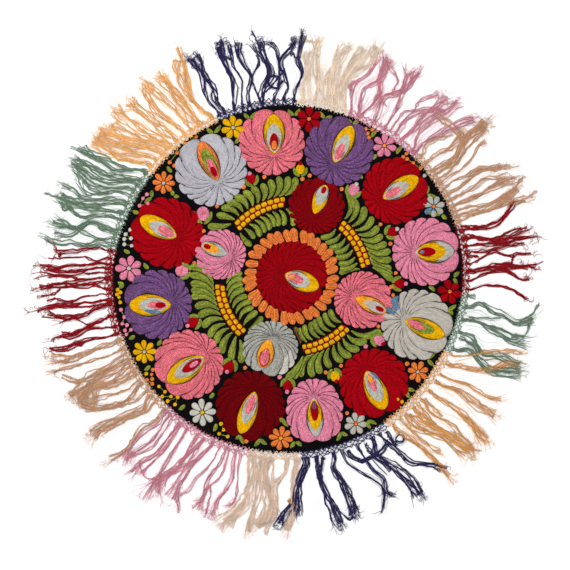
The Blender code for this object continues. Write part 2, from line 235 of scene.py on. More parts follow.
# Berries, a silk and their centres each row. The first lie singly, and each later row is a spray on a stem.
SINGLE_BERRIES = (
    ("orange", (
        (-107, 111), (-36, 155), (-67, 140), (21, 152), (32, 157), (80, 137), (138, 84), (153, 55),
        (161, 11), (154, -10), (157, -22), (135, -69), (79, -128), (56, -138), (-65, -131), (-127, 74),
        (-141, 26), (88, -199), (-63, -241))),
    ("pink", ((-13, -145), (116, -99))),
    ("pale_grey", ((204, 157),)),
    ("yellow", ((-213, -140),)),
    ("orange", ((178, -125),)),
)
SPRAYS = (
    ("orange", ((-138, 215), (-153, 205), (-167, 191), (-178, 177), (-171, 172))),
    ("pink", ((-212, 129), (-218, 123), (-223, 112), (-211, 115))),
    ("ivory", ((-237, 76), (-244, 69), (-236, 63), (-246, 62), (-246, 54), (-235, 52))),
    ("yellow", ((-256, -14), (-252, -18), (-257, -21), (-254, -25), (-252, -33))),
    ("pink", ((-251, -44), (-246, -55), (-249, -65), (-242, -67), (-245, -75), (-243, -81), (-236, -74))),
    ("orange", ((-203, -134), (-205, -141), (-204, -148), (-212, -149), (-204, -155))),
    ("yellow", (
        (-194, -159), (-185, -167), (-189, -174), (-176, -174), (-181, -181), (-166, -175), (-170, -186))),
    ("yellow", ((-101, -215), (-97, -224), (-104, -230), (-91, -234))),
    ("orange", ((116, 227), (126, 226), (119, 220), (121, 214))),
    ("orange", ((177, 190), (172, 185), (178, 182), (187, 176), (198, 168))),
    ("yellow", ((170, -182), (164, -178))),
)

# Small leaves near the rim: each pair is a V, the tips of its two leaves and the point where they meet.
LEAF_PAIRS = (
    ((-67, 251), (-47, 254), (-58, 243)), ((-1, 257), (17, 258), (9, 247)),
    ((47, 254), (66, 247), (55, 243)), ((87, 243), (106, 238), (96, 236)),
    ((211, 142), (222, 126), (208, 129)), ((203, 106), (238, 92), (230, 99)),
    ((257, 13), (254, -5), (248, 4)), ((247, -52), (252, -36), (238, -44)),
    ((221, -110), (219, -128), (209, -118)), ((190, -166), (183, -177), (176, -164)),
    ((133, -216), (124, -222), (117, -211)), ((72, -241), (90, -232), (78, -227)),
    ((20, -249), (3, -252), (11, -242)), ((-14, -213), (1, -220), (-10, -205)),
    ((-52, -249), (-31, -246), (-43, -237)), ((-80, -238), (-66, -246), (-72, -231)),
    ((-256, -2), (-254, -13), (-246, -6)), ((-204, 136), (-216, 115), (-204, 124)),
    ((-174, 136), (-163, 126), (-172, 127)), ((-123, 229), (-101, 234), (-112, 221)))
# And single ones: tip and root.
LEAF_SINGLES = (
    ((133, 224), (124, 214)), ((171, 201), (162, 189)), ((104, 161), (112, 153)), ((134, 189), (126, 181)),
    ((220, -17), (210, -9)), ((-113, -227), (-108, -214)), ((-165, -194), (-155, -186)),
    ((-119, -177), (-112, -168)), ((-217, -135), (-207, -127)), ((-198, -98), (-190, -88)),
    ((-240, -88), (-230, -82)), ((-247, 47), (-237, 41)), ((-217, 27), (-209, 17)),
    ((-234, 105), (-224, 101)), ((-182, 172), (-174, 162)), ((-81, 205), (-74, 214)))

# One length of fringe: the part's node, its silk, where it starts, its strands and its strays. It ends where
# the next length starts. A strand is its angles where it crosses STRAND_RADII and at its tip, how far it
# reaches from the cloth's centre, and its width. A stray is a strand that starts or ends elsewhere: its
# width, then its (angle, radius) points.
Length = namedtuple("Length", "node silk start strands strays")

STRAND_RADII = (275, 290, 310, 330, 350)

FRINGE = (
    Length("fringe_red_east", "red", -4.0, (
        (-2.9, -1.8, -1.5, -2.1, -3.7, -5.0, 366, 4), (0.0, 1.5, 2.6, 2.4, 0.2, 0.5, 366, 6),
        (2.8, 2.9, 3.4, 3.6, 3.4, 2.7, 380, 8), (3.2, 3.6, 4.4, 4.4, 3.4, 4.3, 383, 4),
        (5.5, 6.4, 8.1, 6.4, 6.5, 6.3, 374, 4), (8.8, 8.6, 8.8, 9.0, 9.0, 8.6, 373, 5),
        (10.9, 10.7, 10.1, 9.9, 10.4, 10.0, 385, 8), (13.2, 12.7, 11.3, 11.3, 12.1, 12.5, 375, 9),
        (16.0, 15.3, 14.9, 15.6, 18.2, 19.8, 359, 8)), (
        (3, (7.6, 270), (7.4, 278), (7.0, 288)), (4, (17.5, 270), (16.9, 280), (16.2, 290), (15.2, 306)),
        (4, (14.3, 272), (13.6, 282), (12.4, 294), (11.5, 305)), (3, (6.5, 340), (5.4, 337), (4.4, 336)))),
    Length("fringe_tan_northeast", "tan", 18.1, (
        (19.1, 19.6, 19.2, 19.1, 19.3, 18.4, 387, 6), (20.8, 20.5, 20.2, 20.6, 21.0, 22.1, 380, 8),
        (22.4, 22.2, 21.2, 20.9, 21.1, 21.6, 362, 5), (24.2, 24.2, 24.1, 24.5, 24.5, 23.6, 383, 8),
        (26.4, 26.3, 26.7, 27.5, 26.0, 24.8, 371, 7), (28.5, 28.6, 29.3, 29.7, 28.5, 26.6, 387, 6),
        (30.5, 30.9, 30.5, 30.7, 28.8, 28.0, 366, 4), (32.4, 32.8, 32.8, 33.6, 35.5, 35.2, 362, 4),
        (34.0, 34.1, 35.2, 36.2, 36.9, 37.2, 380, 4), (35.7, 35.5, 35.8, 37.8, 38.7, 37.7, 388, 9),
        (37.4, 36.9, 36.6, 37.9, 38.9, 39.1, 394, 9), (40.5, 40.3, 39.4, 39.6, 40.2, 40.6, 350, 7)), (
        (5, (42.8, 270), (43.4, 280), (44.4, 290), (43.2, 310), (41.5, 330)),
        (8, (48.0, 333), (45.0, 336), (42.0, 337), (39.5, 335), (37.5, 331)),
        (1.5, (19.3, 350), (19.0, 370), (19.8, 396)), (1.5, (21.0, 350), (22.5, 370), (23.9, 388)))),
    Length("fringe_pink_northeast", "pink", 44.2, (
        (45.3, 45.5, 44.2, 43.2, 42.2, 40.5, 378, 11), (46.6, 48.2, 48.2, 47.5, 46.4, 46.4, 380, 8),
        (51.2, 50.7, 50.5, 49.7, 49.0, 49.2, 372, 13), (57.6, 57.6, 57.9, 58.6, 57.9, 58.4, 379, 8),
        (61.7, 62.0, 62.2, 59.3, 59.6, 60.1, 372, 11), (66.0, 64.5, 64.2, 65.6, 65.7, 65.6, 373, 11),
        (67.2, 68.1, 68.4, 65.8, 65.9, 66.2, 365, 10), (69.8, 71.0, 71.6, 69.0, 68.4, 68.3, 362, 7)), (
        (9.1, (53.7, 270), (53.9, 290), (53.0, 310), (50.8, 330), (48.7, 340), (46.7, 343)),
        (5.2, (53.6, 312), (53.5, 318), (53.7, 333), (51.0, 358)),
        (3.25, (55.8, 270), (55.8, 290), (55.6, 305), (53.5, 318)),
        (3.9, (61.0, 318), (61.2, 327), (61.4, 343), (64.5, 352)),
        (2.6, (60.5, 300), (63.6, 306), (61.5, 316)), (3.9, (71.5, 300), (72.6, 306), (70.6, 318)))),
    Length("fringe_cream_north", "cream", 70.5, (
        (71.8, 73.0, 74.0, 72.2, 69.7, 69.1, 388, 12), (74.6, 74.9, 74.9, 74.2, 73.0, 71.5, 374, 11),
        (76.5, 76.8, 77.2, 77.4, 77.0, 75.5, 372, 12), (78.6, 78.6, 79.2, 78.0, 77.9, 77.9, 352, 6),
        (81.7, 81.4, 81.9, 82.9, 83.2, 82.9, 370, 9), (85.4, 86.0, 84.8, 85.4, 85.7, 85.7, 350, 8)), (
        (4, (83.2, 358), (84.4, 361), (85.9, 360)),)),
    Length("fringe_navy_north", "navy", 87.6, (
        (88.2, 87.5, 86.0, 87.4, 87.2, 86.5, 378, 6), (91.3, 90.0, 91.6, 92.2, 89.1, 88.9, 365, 5),
        (94.4, 92.9, 92.5, 92.5, 93.2, 95.6, 359, 4), (98.3, 97.6, 95.0, 95.8, 97.0, 97.4, 364, 9),
        (102.4, 101.9, 100.4, 101.7, 102.5, 101.7, 372, 6),
        (104.6, 104.0, 103.0, 104.4, 104.1, 104.3, 371, 4),
        (107.4, 106.3, 105.4, 106.3, 106.7, 106.8, 373, 8),
        (110.8, 111.9, 111.4, 112.2, 112.0, 112.9, 370, 9),
        (112.8, 113.9, 114.2, 113.0, 113.6, 114.8, 372, 5)), (
        (3, (98.7, 270), (99.8, 290), (100.2, 308), (97.7, 328), (98.1, 342)),
        (2.5, (91.5, 300), (93.5, 288), (96.0, 296), (95.0, 308), (92.4, 303), (93.4, 292)),
        (2.5, (97.0, 284), (94.2, 297), (92.2, 309), (91.0, 318)),
        (2, (88.2, 334), (88.9, 341), (89.4, 336)), (2.5, (106.3, 344), (105.2, 346), (104.3, 342)),
        (4, (106.5, 348), (105.9, 362), (105.6, 375)), (1.5, (97.0, 350), (97.8, 366), (98.4, 378)))),
    Length("fringe_orange_northwest", "orange", 114.1, (
        (115.3, 117.3, 118.4, 118.4, 117.5, 115.8, 377, 6),
        (115.6, 117.0, 117.6, 116.7, 116.2, 115.0, 406, 4),
        (119.0, 119.8, 120.6, 121.0, 121.2, 121.4, 366, 3),
        (120.3, 120.7, 121.1, 121.4, 121.7, 122.3, 369, 9),
        (122.9, 123.3, 123.8, 124.5, 125.2, 126.1, 379, 5),
        (125.6, 126.5, 127.4, 127.5, 127.0, 126.3, 366, 6),
        (128.8, 129.7, 130.5, 131.1, 131.4, 131.9, 365, 8),
        (131.1, 132.5, 134.1, 134.6, 135.3, 135.5, 375, 8),
        (132.8, 134.5, 136.8, 138.2, 139.6, 139.0, 359, 8),
        (135.0, 136.8, 139.1, 140.5, 141.3, 142.1, 364, 8),
        (138.1, 139.8, 141.8, 143.2, 143.8, 143.8, 365, 7),
        (140.5, 142.4, 144.0, 144.5, 144.6, 144.2, 360, 6)), (
        (2, (117.6, 345), (118.6, 360), (117.3, 370), (116.2, 362)),)),
    Length("fringe_sage_northwest", "sage", 142.6, (
        (142.6, 145.0, 145.9, 146.1, 147.2, 147.3, 373, 5),
        (143.3, 145.3, 147.5, 147.3, 147.9, 148.4, 384, 6),
        (146.2, 147.7, 149.4, 150.0, 150.3, 150.9, 371, 8),
        (147.8, 149.4, 151.4, 151.8, 151.4, 151.6, 380, 8),
        (149.9, 151.3, 153.2, 153.9, 153.1, 151.8, 370, 6),
        (151.9, 153.0, 154.9, 155.4, 154.0, 153.5, 348, 6),
        (154.1, 155.3, 157.0, 157.9, 157.0, 157.6, 377, 6),
        (155.2, 156.5, 158.1, 159.4, 159.6, 159.3, 370, 7),
        (158.0, 158.7, 160.0, 160.7, 160.6, 159.9, 372, 8),
        (160.2, 160.6, 161.9, 162.9, 161.3, 160.5, 369, 6),
        (163.8, 163.5, 163.4, 166.3, 165.6, 165.9, 372, 6),
        (164.7, 164.6, 163.6, 168.1, 168.6, 168.9, 362, 5),
        (166.7, 167.6, 166.9, 166.0, 166.6, 166.4, 372, 5),
        (168.3, 168.1, 170.3, 170.0, 170.9, 169.7, 382, 5)), (
        (2.5, (154.2, 300), (156.2, 320), (156.8, 330), (154.2, 357)),
        (1.5, (160.6, 350), (160.2, 372), (160.4, 392)), (3, (169.7, 270), (169.5, 290), (170.3, 310)),
        (3, (161.8, 345), (162.6, 352), (161.4, 357)))),
    Length("fringe_red_west", "red", 170.3, (
        (170.5, 170.3, 171.4, 172.4, 172.9, 170.7, 360, 5),
        (173.0, 174.2, 173.5, 174.1, 174.6, 174.9, 368, 3),
        (174.9, 175.3, 175.9, 176.0, 177.1, 176.6, 385, 7),
        (176.2, 176.5, 177.2, 177.6, 177.7, 177.5, 370, 5),
        (177.6, 177.9, 178.3, 178.8, 178.6, 178.5, 383, 3),
        (179.2, 179.4, 179.6, 179.3, 179.0, 179.4, 383, 3),
        (179.4, 179.6, 180.0, 180.5, 181.0, 181.8, 369, 4),
        (182.7, 181.5, 181.5, 181.3, 181.3, 182.0, 385, 8),
        (184.2, 184.4, 184.8, 185.7, 184.4, 185.3, 370, 3),
        (186.1, 186.2, 186.2, 186.2, 186.1, 187.0, 395, 6),
        (187.2, 187.3, 187.2, 187.0, 186.5, 186.6, 370, 5),
        (187.8, 188.3, 189.7, 189.6, 189.0, 187.4, 371, 8),
        (191.6, 192.4, 193.1, 193.7, 192.9, 193.0, 356, 4),
        (194.9, 194.2, 193.7, 194.6, 193.8, 194.2, 372, 6),
        (197.3, 197.3, 196.9, 196.8, 197.1, 195.5, 385, 8)), (
        (2.5, (172.9, 344), (173.7, 346), (174.5, 343)),
        (4, (180.2, 270), (180.4, 290), (181.1, 302), (181.4, 320)),
        (3, (181.3, 332), (182.1, 343), (183.4, 353), (183.4, 378)),
        (2.5, (192.8, 305), (190.6, 322), (190.0, 333), (190.9, 357)),
        (5, (191.0, 270), (192.3, 290), (193.3, 310), (193.7, 330)))),
    Length("fringe_tan_west", "tan", 198.2, (
        (199.6, 199.9, 199.6, 199.7, 199.4, 197.6, 387, 9),
        (202.6, 202.8, 202.6, 202.2, 201.8, 201.0, 391, 4),
        (204.4, 205.1, 205.5, 205.4, 205.6, 201.6, 379, 7),
        (205.9, 206.4, 206.3, 206.7, 207.1, 208.1, 381, 8),
        (207.2, 207.7, 207.6, 207.8, 208.1, 208.9, 371, 8),
        (208.6, 209.3, 209.5, 208.4, 208.9, 209.6, 368, 7),
        (210.3, 210.6, 210.3, 208.9, 209.9, 211.2, 362, 7),
        (211.7, 211.7, 210.9, 209.5, 212.0, 213.8, 350, 6),
        (213.7, 214.0, 213.2, 212.0, 211.2, 210.6, 360, 5),
        (215.2, 216.2, 216.5, 215.3, 213.1, 209.4, 368, 8),
        (218.1, 218.2, 216.6, 215.4, 213.3, 211.5, 362, 5),
        (220.2, 221.5, 220.2, 219.5, 218.6, 217.9, 388, 12),
        (222.4, 223.1, 221.2, 219.9, 219.2, 218.6, 372, 5),
        (226.2, 226.6, 225.3, 225.6, 226.3, 224.5, 393, 6)), (
        (4, (199.6, 330), (199.8, 348), (200.0, 362)),)),
    Length("fringe_pink_southwest", "rose", 226.2, (
        (227.2, 227.7, 226.6, 226.5, 226.8, 226.8, 374, 5),
        (228.8, 229.2, 229.4, 228.8, 227.9, 228.7, 367, 6),
        (230.2, 230.5, 230.9, 230.5, 228.8, 228.0, 362, 4),
        (232.6, 232.6, 232.6, 232.5, 231.1, 231.0, 383, 7),
        (233.4, 233.6, 233.7, 233.5, 232.9, 232.7, 371, 5),
        (235.5, 235.8, 236.0, 236.3, 236.4, 235.7, 396, 8),
        (239.6, 239.4, 239.6, 239.2, 237.6, 238.9, 388, 9),
        (244.7, 243.7, 241.9, 239.1, 237.8, 237.2, 372, 8),
        (242.0, 241.6, 241.2, 241.1, 241.0, 240.3, 382, 4),
        (245.0, 243.8, 242.8, 242.5, 242.2, 242.6, 382, 8),
        (247.5, 247.3, 246.4, 244.9, 244.5, 242.8, 367, 4),
        (249.7, 249.5, 248.4, 247.8, 248.4, 247.2, 370, 6),
        (251.1, 251.3, 251.0, 249.1, 248.6, 249.6, 378, 4),
        (253.0, 253.4, 254.2, 253.2, 252.1, 251.9, 378, 7)), (
        (5, (241.9, 270), (240.8, 290), (239.7, 310), (239.3, 322)),
        (3, (249.1, 330), (250.1, 342), (250.6, 378)), (2, (242.4, 352), (243.4, 372), (245.0, 384)),
        (1.5, (231.0, 352), (232.6, 362), (234.8, 364), (236.0, 357)),
        (3, (255.0, 270), (254.9, 290), (255.8, 310), (256.4, 330), (256.0, 345), (254.2, 356)))),
    Length("fringe_cream_south", "oatmeal", 256.9, (
        (258.5, 258.9, 259.1, 258.8, 257.8, 254.4, 388, 16),
        (261.6, 261.8, 261.9, 261.9, 261.2, 260.8, 398, 9),
        (263.9, 263.7, 264.1, 264.9, 265.2, 261.6, 385, 18),
        (269.5, 268.6, 265.9, 266.7, 266.4, 264.5, 365, 8),
        (272.6, 271.9, 271.5, 271.2, 271.1, 269.2, 388, 10)), ()),
    Length("fringe_navy_south", "navy", 274.1, (
        (276.2, 274.8, 273.0, 272.4, 272.2, 272.0, 354, 8),
        (275.0, 273.6, 272.4, 271.4, 269.2, 267.2, 373, 8),
        (279.1, 278.9, 279.5, 280.2, 281.2, 281.9, 384, 9),
        (284.6, 283.6, 285.0, 285.4, 285.7, 285.8, 371, 10),
        (287.5, 288.1, 291.1, 293.8, 294.3, 291.6, 375, 3),
        (292.8, 293.4, 294.1, 295.6, 294.7, 296.3, 363, 4),
        (298.0, 296.9, 298.4, 299.9, 301.1, 301.5, 390, 11),
        (300.9, 301.8, 303.2, 304.2, 308.0, 309.8, 370, 6)), (
        (5, (281.1, 270), (280.4, 280), (279.2, 292), (279.4, 308)), (7, (289.0, 270), (289.4, 276),
        (290.9, 287), (292.9, 293), (295.2, 293), (296.3, 300), (298.0, 325)),
        (4, (295.3, 270), (295.4, 280), (295.7, 292)),
        (5, (296.0, 292), (298.3, 292), (300.5, 287), (302.2, 285)),
        (4, (303.0, 270), (303.1, 284), (303.3, 297)), (2.5, (306.4, 290), (305.9, 295), (305.2, 296.5),
        (304.3, 294), (303.9, 290), (304.4, 285.6), (305.2, 284), (306.1, 286), (306.4, 290)),
        (1.5, (282.0, 345), (282.2, 350), (284.2, 370), (285.3, 367)))),
    Length("fringe_orange_southeast", "amber", 304.3, (
        (305.9, 306.9, 307.8, 308.7, 309.1, 310.0, 393, 8),
        (309.0, 309.4, 309.7, 310.6, 311.5, 311.5, 350, 5),
        (311.1, 311.0, 312.8, 314.6, 315.2, 315.8, 386, 10),
        (314.5, 314.5, 315.0, 316.0, 316.9, 317.3, 389, 9),
        (316.3, 315.8, 315.0, 315.9, 316.5, 316.4, 384, 5),
        (318.0, 317.3, 317.9, 318.6, 317.9, 317.5, 380, 5),
        (321.9, 322.2, 322.5, 322.4, 322.1, 320.4, 396, 8),
        (325.6, 326.3, 326.8, 326.3, 326.4, 327.1, 379, 8),
        (328.4, 328.9, 330.0, 329.6, 329.6, 331.2, 374, 5),
        (332.4, 333.3, 334.0, 335.9, 339.2, 340.8, 371, 8),
        (335.5, 337.1, 339.6, 341.1, 342.5, 343.0, 376, 4)), (
        (5, (312.2, 270), (312.9, 290), (314.0, 302), (314.6, 318)),
        (4, (319.1, 270), (318.6, 290), (318.7, 308)), (5, (321.9, 330), (321.7, 350), (319.4, 382)),
        (4, (270.0, 328), (270.5, 331), (270.1, 334)))),
    Length("fringe_sage_east", "sage", 336.2, (
        (337.4, 339.1, 336.8, 336.0, 337.0, 339.2, 387, 10),
        (343.2, 342.8, 339.0, 340.0, 340.0, 339.8, 378, 8),
        (347.3, 347.5, 346.7, 346.0, 345.2, 346.6, 372, 10),
        (351.6, 353.1, 351.2, 350.5, 349.4, 352.2, 381, 8)), (
        (5, (341.6, 270), (341.2, 282), (340.4, 296), (339.3, 308)),
        (2.5, (348.4, 276), (348.7, 290), (349.9, 323)), (4, (355.0, 268), (355.0, 282)),
        (1.5, (345.6, 345), (347.2, 364), (350.0, 366)), (1.5, (350.0, 352), (352.0, 368), (354.9, 378)))),
)

# Heights above the surface that the cloth lies on. A shape rises by its whole lift where its half width is at
# least FULL_HALF_WIDTH, and a narrower one by a part of it, so a thread has a large lift.
CLOTH_TOP = 1.3
STITCH_BASE = 1.25
PETAL_LIFT = 1.1
THREAD_LIFT = 5.5
FULL_HALF_WIDTH = 3.0

# What is random in the pattern and in each shape's tone, how much that tone varies between shapes, and a
# stitch's least half width. The tone is partly uneven dye and partly painted sheen: a shape lighter or darker
# as if its threads caught the light at another angle.
PATTERN_SEED = 11
DYE_AND_SHEEN_SEED = 23
DYE_AND_SHEEN_SPREAD = 0.06
LEAST_HALF_WIDTH = 0.04

# The rounded end of a shape: its stations on a quarter circle, where along the shape the width is taken that
# sets its length, its least length and its greatest share of the shape. Then the round knobs.
CAP_TURNS = np.radians((25, 47, 66, 80, 90))
CAP_SEAT = 0.85
LEAST_CAP = 0.3
MOST_CAP = 0.6
KNOB_STATIONS = 7
KNOB_DIRECTION = np.array((0.8, 0.6))

# A rose's petals. The borders between them bow, those beside the eye the most, and end in notches of the rim,
# between lobes. Each half starts with a border beside the eye and ends with the one straight behind it.
FIRST_BORDER = 2
LAST_BORDER = 180
BORDER_SHIFT = 3.5
BORDER_STEPS = 40
PETAL_CROWDING = 0.75
PETAL_BEND = 0.22
PETAL_BEND_FADE = 0.7
NOTCH_DEPTH = 3.4
PETAL_GAP = 0.3
PETAL_STATIONS = 10
LOBE = 0.26
LEAST_LOBE = 1.2
LOBE_TURNS = np.radians((18, 36, 54, 70, 82, 90))
ODD_LAYER = 0.1

# The threads between petals.
PETAL_LINE = 0.95
DARK_LINE = 0.7
LINE_START = 0.12
LINE_LAYER = 0.15

# A rose's eye and the threads round its lenses. A narrow lens has none.
LENS_LEAN = 1.12
LENS_FULLNESS = 0.53
EYE_GAP = -1.0
EYE_NOTCH = 2.0
EYE_LAYER = 1.12
LENS_STEP = 0.28
EYE_STATIONS = 23
EYE_LINE = 0.55
EYE_EDGE = 0.9
OUTERMOST_DROP = 0.3
LINED_WIDTH = 12.0
STRIPE_STATIONS = 14
STRIPE_LAYER = EYE_LAYER + 1.4 * LENS_STEP

# The padding under the petals: how far it keeps inside a rose's rim, and its section from the top down, as
# shares of its radii and heights above STITCH_BASE. It is tinted darker than the petals: painted shade in the
# gaps between them, where it shows.
BED_INSET = 9.0
BED_TURNS = 48
BED_SECTION = ((0.97, 0.62), (1.0, 0.3), (0.98, 0.0))
BED_SHADE = 0.9

# The ring of orange scallops round the centre rose, and the two threads along each.
SCALLOPS = 33
SCALLOP_INNER = 52.5
SCALLOP_OUTER = 72.5
SCALLOP_WIDTH = 13.6
SCALLOP_LEAN = 18.0
SCALLOP_ROOT = 0.64
SCALLOP_STATIONS = 12
VEINS = (-0.33, 0.3)
VEIN = 0.5
VEIN_LAYER = 0.8

# A garland's band with its two rows of seeds and a bar after each seed, and its leaves. The leaves near the
# band's far end bend less, and then the other way.
BAND_WIDTH = 17.6
BAND_LIFT = 0.7
BAND_LAYER = -0.05
BAND_STATIONS = 25
BAND_ROUNDING = 0.03
SEED_LENGTH = 7.8
SEED_WIDTH = 6.7
SEED_ROW = 4.0
SEED_SHIFT = 0.225
SEED_LAYER = 0.35
SEED_SHAPE = np.array((0.6, 0.92, 1, 1, 1, 1, 0.92, 0.6))
SEED_BAR = 0.8
SEED_BAR_LAYER = 0.55
SEED_BAR_STATIONS = 6
OUTER_LEAF_WIDTH = 12.6
INNER_LEAF_WIDTH = 10.4
LEAF_BEND = 0.2
LEAF_SPAN = 1.02
LEAF_TURN = 7.0
LEAF_TURN_START = 0.8

# Leaves of both kinds: the blunt ones of the garlands, with a dark thread beside each, and the pointed ones.
BLUNT_ROOT = 0.22
BLUNT_FULL = 0.8
BLUNT_CAP = 1.3
POINT_LEAN = 0.85
POINT_FULLNESS = 0.75
# How far a leaf's tone varies: uneven dye and painted sheen.
LEAF_TONES = 0.14
LEAF_LAYER = -0.35
LEAF_LINE = 0.85
LEAF_LINE_PLACE = 0.96
LEAF_LINE_LAYER = 0.4
RIM_LEAF_WIDTH = 7.0
RIM_LEAF_BEND = 0.08

# Small flowers. Sizes are shares of the flower's radius.
FLOWER_STATIONS = 12
FLOWER_HEART = 0.2
FLOWER_WIDEST = 0.68
FLOWER_ROOT = 0.2
FLOWER_FULL = 0.72
FLOWER_GAP = 0.4
FLOWER_KNOB = 0.32
FLOWER_KNOB_LAYER = 0.3
BLUE_LAYER = 0.12

# Buds: shares are of the bud's width, and for the cup's places, of its length.
BUD_LENGTH = 1.25
BUD_REACH = 0.85
BUD_ROOT = 0.35
BUD_FULL = 0.5
BUD_STATIONS = 14
BUD_LAYER = 0.4
SPOT_SIZE = 6.6
SPOT_LAYER = 1.0
CUP_WIDTH = 8.0
CUP_ROOT = 0.62
CUP_TIP = 0.22
CUP_OPENING = 2.4
CUP_BEND = 0.16

BERRY_SIZE = 6.5
SPRAY_BERRY_SIZE = 5.8
BERRY_LAYER = 0.1
STEM = 0.7
STEM_LIFT = 0.9
STEM_LAYER = -0.1

# How strongly the streaks and specks mark an embroidery silk, by how light it is, and the shine of silks. The
# streaks and specks are partly grain and partly painted shade between the threads and painted sheen along
# them.
LIGHTNESS = (0.3, 0.6, 0.1)
GRAIN_AND_THREAD_SHADE = ((46, 76, 120, 150, 170), (0.32, 0.5, 0.46, 0.3, 0.2))
FRINGE_GRAIN_AND_THREAD_SHADE = 0.1
SILK_SHINE = 0.12
DULL_SHINE = 0.03
DULL_BELOW = 40
SILK_ROUGHNESS = 0.6

# Patterns of the finishes, in metres or as texture scales: turns for each metre, and for a Wave texture
# WAVE_TURN times that.
NOISE_RANGE = (0.32, 0.68)
WAVE_TURN = 0.31
THREAD_PITCH = 0.0007
THREAD_RELIEF = 0.00025
# Streaks along the threads and specks: partly grain, partly painted shade and sheen of the threads.
STREAK_SCALE = (60.0, 520.0, 1.0)
SPECK_SCALE = 450.0
PATCH_SCALE = 70.0
PATCHINESS = 0.05
WEAVE_SCALE = 480.0
WEAVE_RELIEF = 0.0002
FIBRE_SCALE = 900.0
WEAR_SCALE = 25.0
WOOL_COLOUR = (12, 10, 12)

# The net heading, in metres, and where its guide line runs.
NET_ROWS = 4
NET_PITCH = 0.0070
NET_ROW = 0.0029
NET_THREAD = 0.00055
NET_KNOT = 0.0011
NET_SLACK = 0.0018
NET_TONES = (0.8, 1.1)
NET_TONE_SEED = 5
NET_TURN = 0.5
NET_REACH = 2.0
NET_HEIGHT = 1.5

# The rings that are swept, and how finely the net's threads bend.
DOME_CORNERS = 8
DOME_POWER = 0.55
THREAD_CORNERS = 3
NET_CORNERS = 4
NET_SMOOTHNESS = 3

# Short stitches over the wool's edge, which hold the net heading.
EDGE_STITCH = 1.05
EDGE_STITCH_REACH = 3.6
EDGE_STITCH_HALF = 0.3
EDGE_STITCH_HEIGHTS = (1.75, 1.75, 1.45)
EDGE_STITCH_LEAN = np.array((0.0, 0.05, 0.1))

# A strand of the fringe. It starts under the net heading, and shares are of its length or width.
FRINGE_SEED = 7
ROOT_RADIUS = 266.0
TIP_CLEARANCE = 6
STATIONS = 20
STRAY_STATIONS = 12
TAIL_RADIUS = 345
WHOLE_TURN = 6.28
ROOT_FAN = 6.8
NARROWEST = 3
PLY_WIDTH = 2.2
PLY_SHIFT = 0.2
PLY_SEAT = 0.42
PLY_WAVES = (4, 9)
DRIFT = 0.16
FINE_DRIFT = 0.06
FINE_WAVES = 2.7
DRIFT_START = 0.15
PARTING_START = 0.8
TAPER_START = 0.85
TAPERED = 0.55
LEAST_STATIONS = 4
FRINGE_LOWEST = 0.5
FRINGE_PILE = 1.3
FRINGE_SAG = 0.2
SINK = 0.02

# One thread in a ply, or one that goes astray: how far it lies from its ply, its ripple and its thickness.
Thread = namedtuple("Thread", "loose ripple")
LAID_THREAD = Thread(0.26, 0.16)
STRAY_THREAD = Thread(0.8, 0.5)
ASTRAY = 0.16
ASTRAY_THIN = 0.55
RIPPLES = (12, 30)

# Single loose hairs: those between two strands, and the curled ones at a strand's end.
VEIL_HALF = 0.13
WISP_LENGTH = 14.0
WISP_STEPS = 8
WISP_THIN = 0.85
WISP_TURN = 0.6
WISP_CURL = 0.5
WISP_CURL_CHANGE = 0.07
WISP_SPREAD = 0.28

# The ground: its section falls to the edge, which is overcast in small waves.
GROUND_TURNS = 648
GROUND_RINGS = 16
GROUND_CROWDING = 1.4
EDGE_HEIGHTS = (1.105, 0.65)
UNDERSIDE = ((0.996, 0.12), (0.5, 0.1))
UNDERSIDE_HEIGHT = 0.1
EDGE_WAVES = 216
EDGE_WAVE = 1.8
EDGE_WAVE_POWER = 20
CLOTH_WAVE = 0.12

# The stage, in metres.
FLOOR_SIZE = 3.0
FLOOR_COLOUR = (0.96, 0.96, 0.96, 1.0)
WHITE = (1.0, 1.0, 1.0, 1.0)
LAMP_PLACE = (-1.1, 1.0, 1.4)
LAMP_SIZE = 1.2
LAMP_POWER = 14.0
CAMERA_PLACE = (-0.0051, -0.0069, 2.0188)
CAMERA_LENS = 85.0
CAMERA_SENSOR = 36.0


def linear(colour):
    """Turn a colour in steps of 255 into the linear values that a shader takes."""
    return tuple(((v / 255 + 0.055) / 1.055) ** 2.4 if v > 10 else v / 255 / 12.92 for v in colour)


def give(tree, node, inputs):
    """Give each of a node's inputs a value or a link."""
    for key, value in dict(inputs).items():
        if isinstance(value, bpy.types.NodeSocket):
            tree.links.new(value, node.inputs[key])
        else:
            node.inputs[key].default_value = value


def put(tree, kind, inputs=(), **settings):
    """Add a node to a tree and set it up."""
    node = tree.nodes.new(kind)
    for key, value in settings.items():
        setattr(node, key, value)
    give(tree, node, inputs)
    return node


def number(tree, operation, first, second=0.0):
    """What an operation makes of two numbers."""
    return put(tree, "ShaderNodeMath", {0: first, 1: second}, operation=operation).outputs[0]


def vector(tree, operation, first, second=(0.0, 0.0, 0.0)):
    """What an operation makes of two vectors."""
    return put(tree, "ShaderNodeVectorMath", {0: first, 1: second}, operation=operation).outputs[0]


def scaled(tree, direction, length):
    """A vector made longer by a number."""
    return put(tree, "ShaderNodeVectorMath", {0: direction, "Scale": length}, operation="SCALE").outputs[0]


def combined(tree, **parts):
    """A vector from its parts."""
    return put(tree, "ShaderNodeCombineXYZ", parts).outputs[0]


def parted(tree, whole):
    """The three parts of a vector."""
    return put(tree, "ShaderNodeSeparateXYZ", {0: whole}).outputs


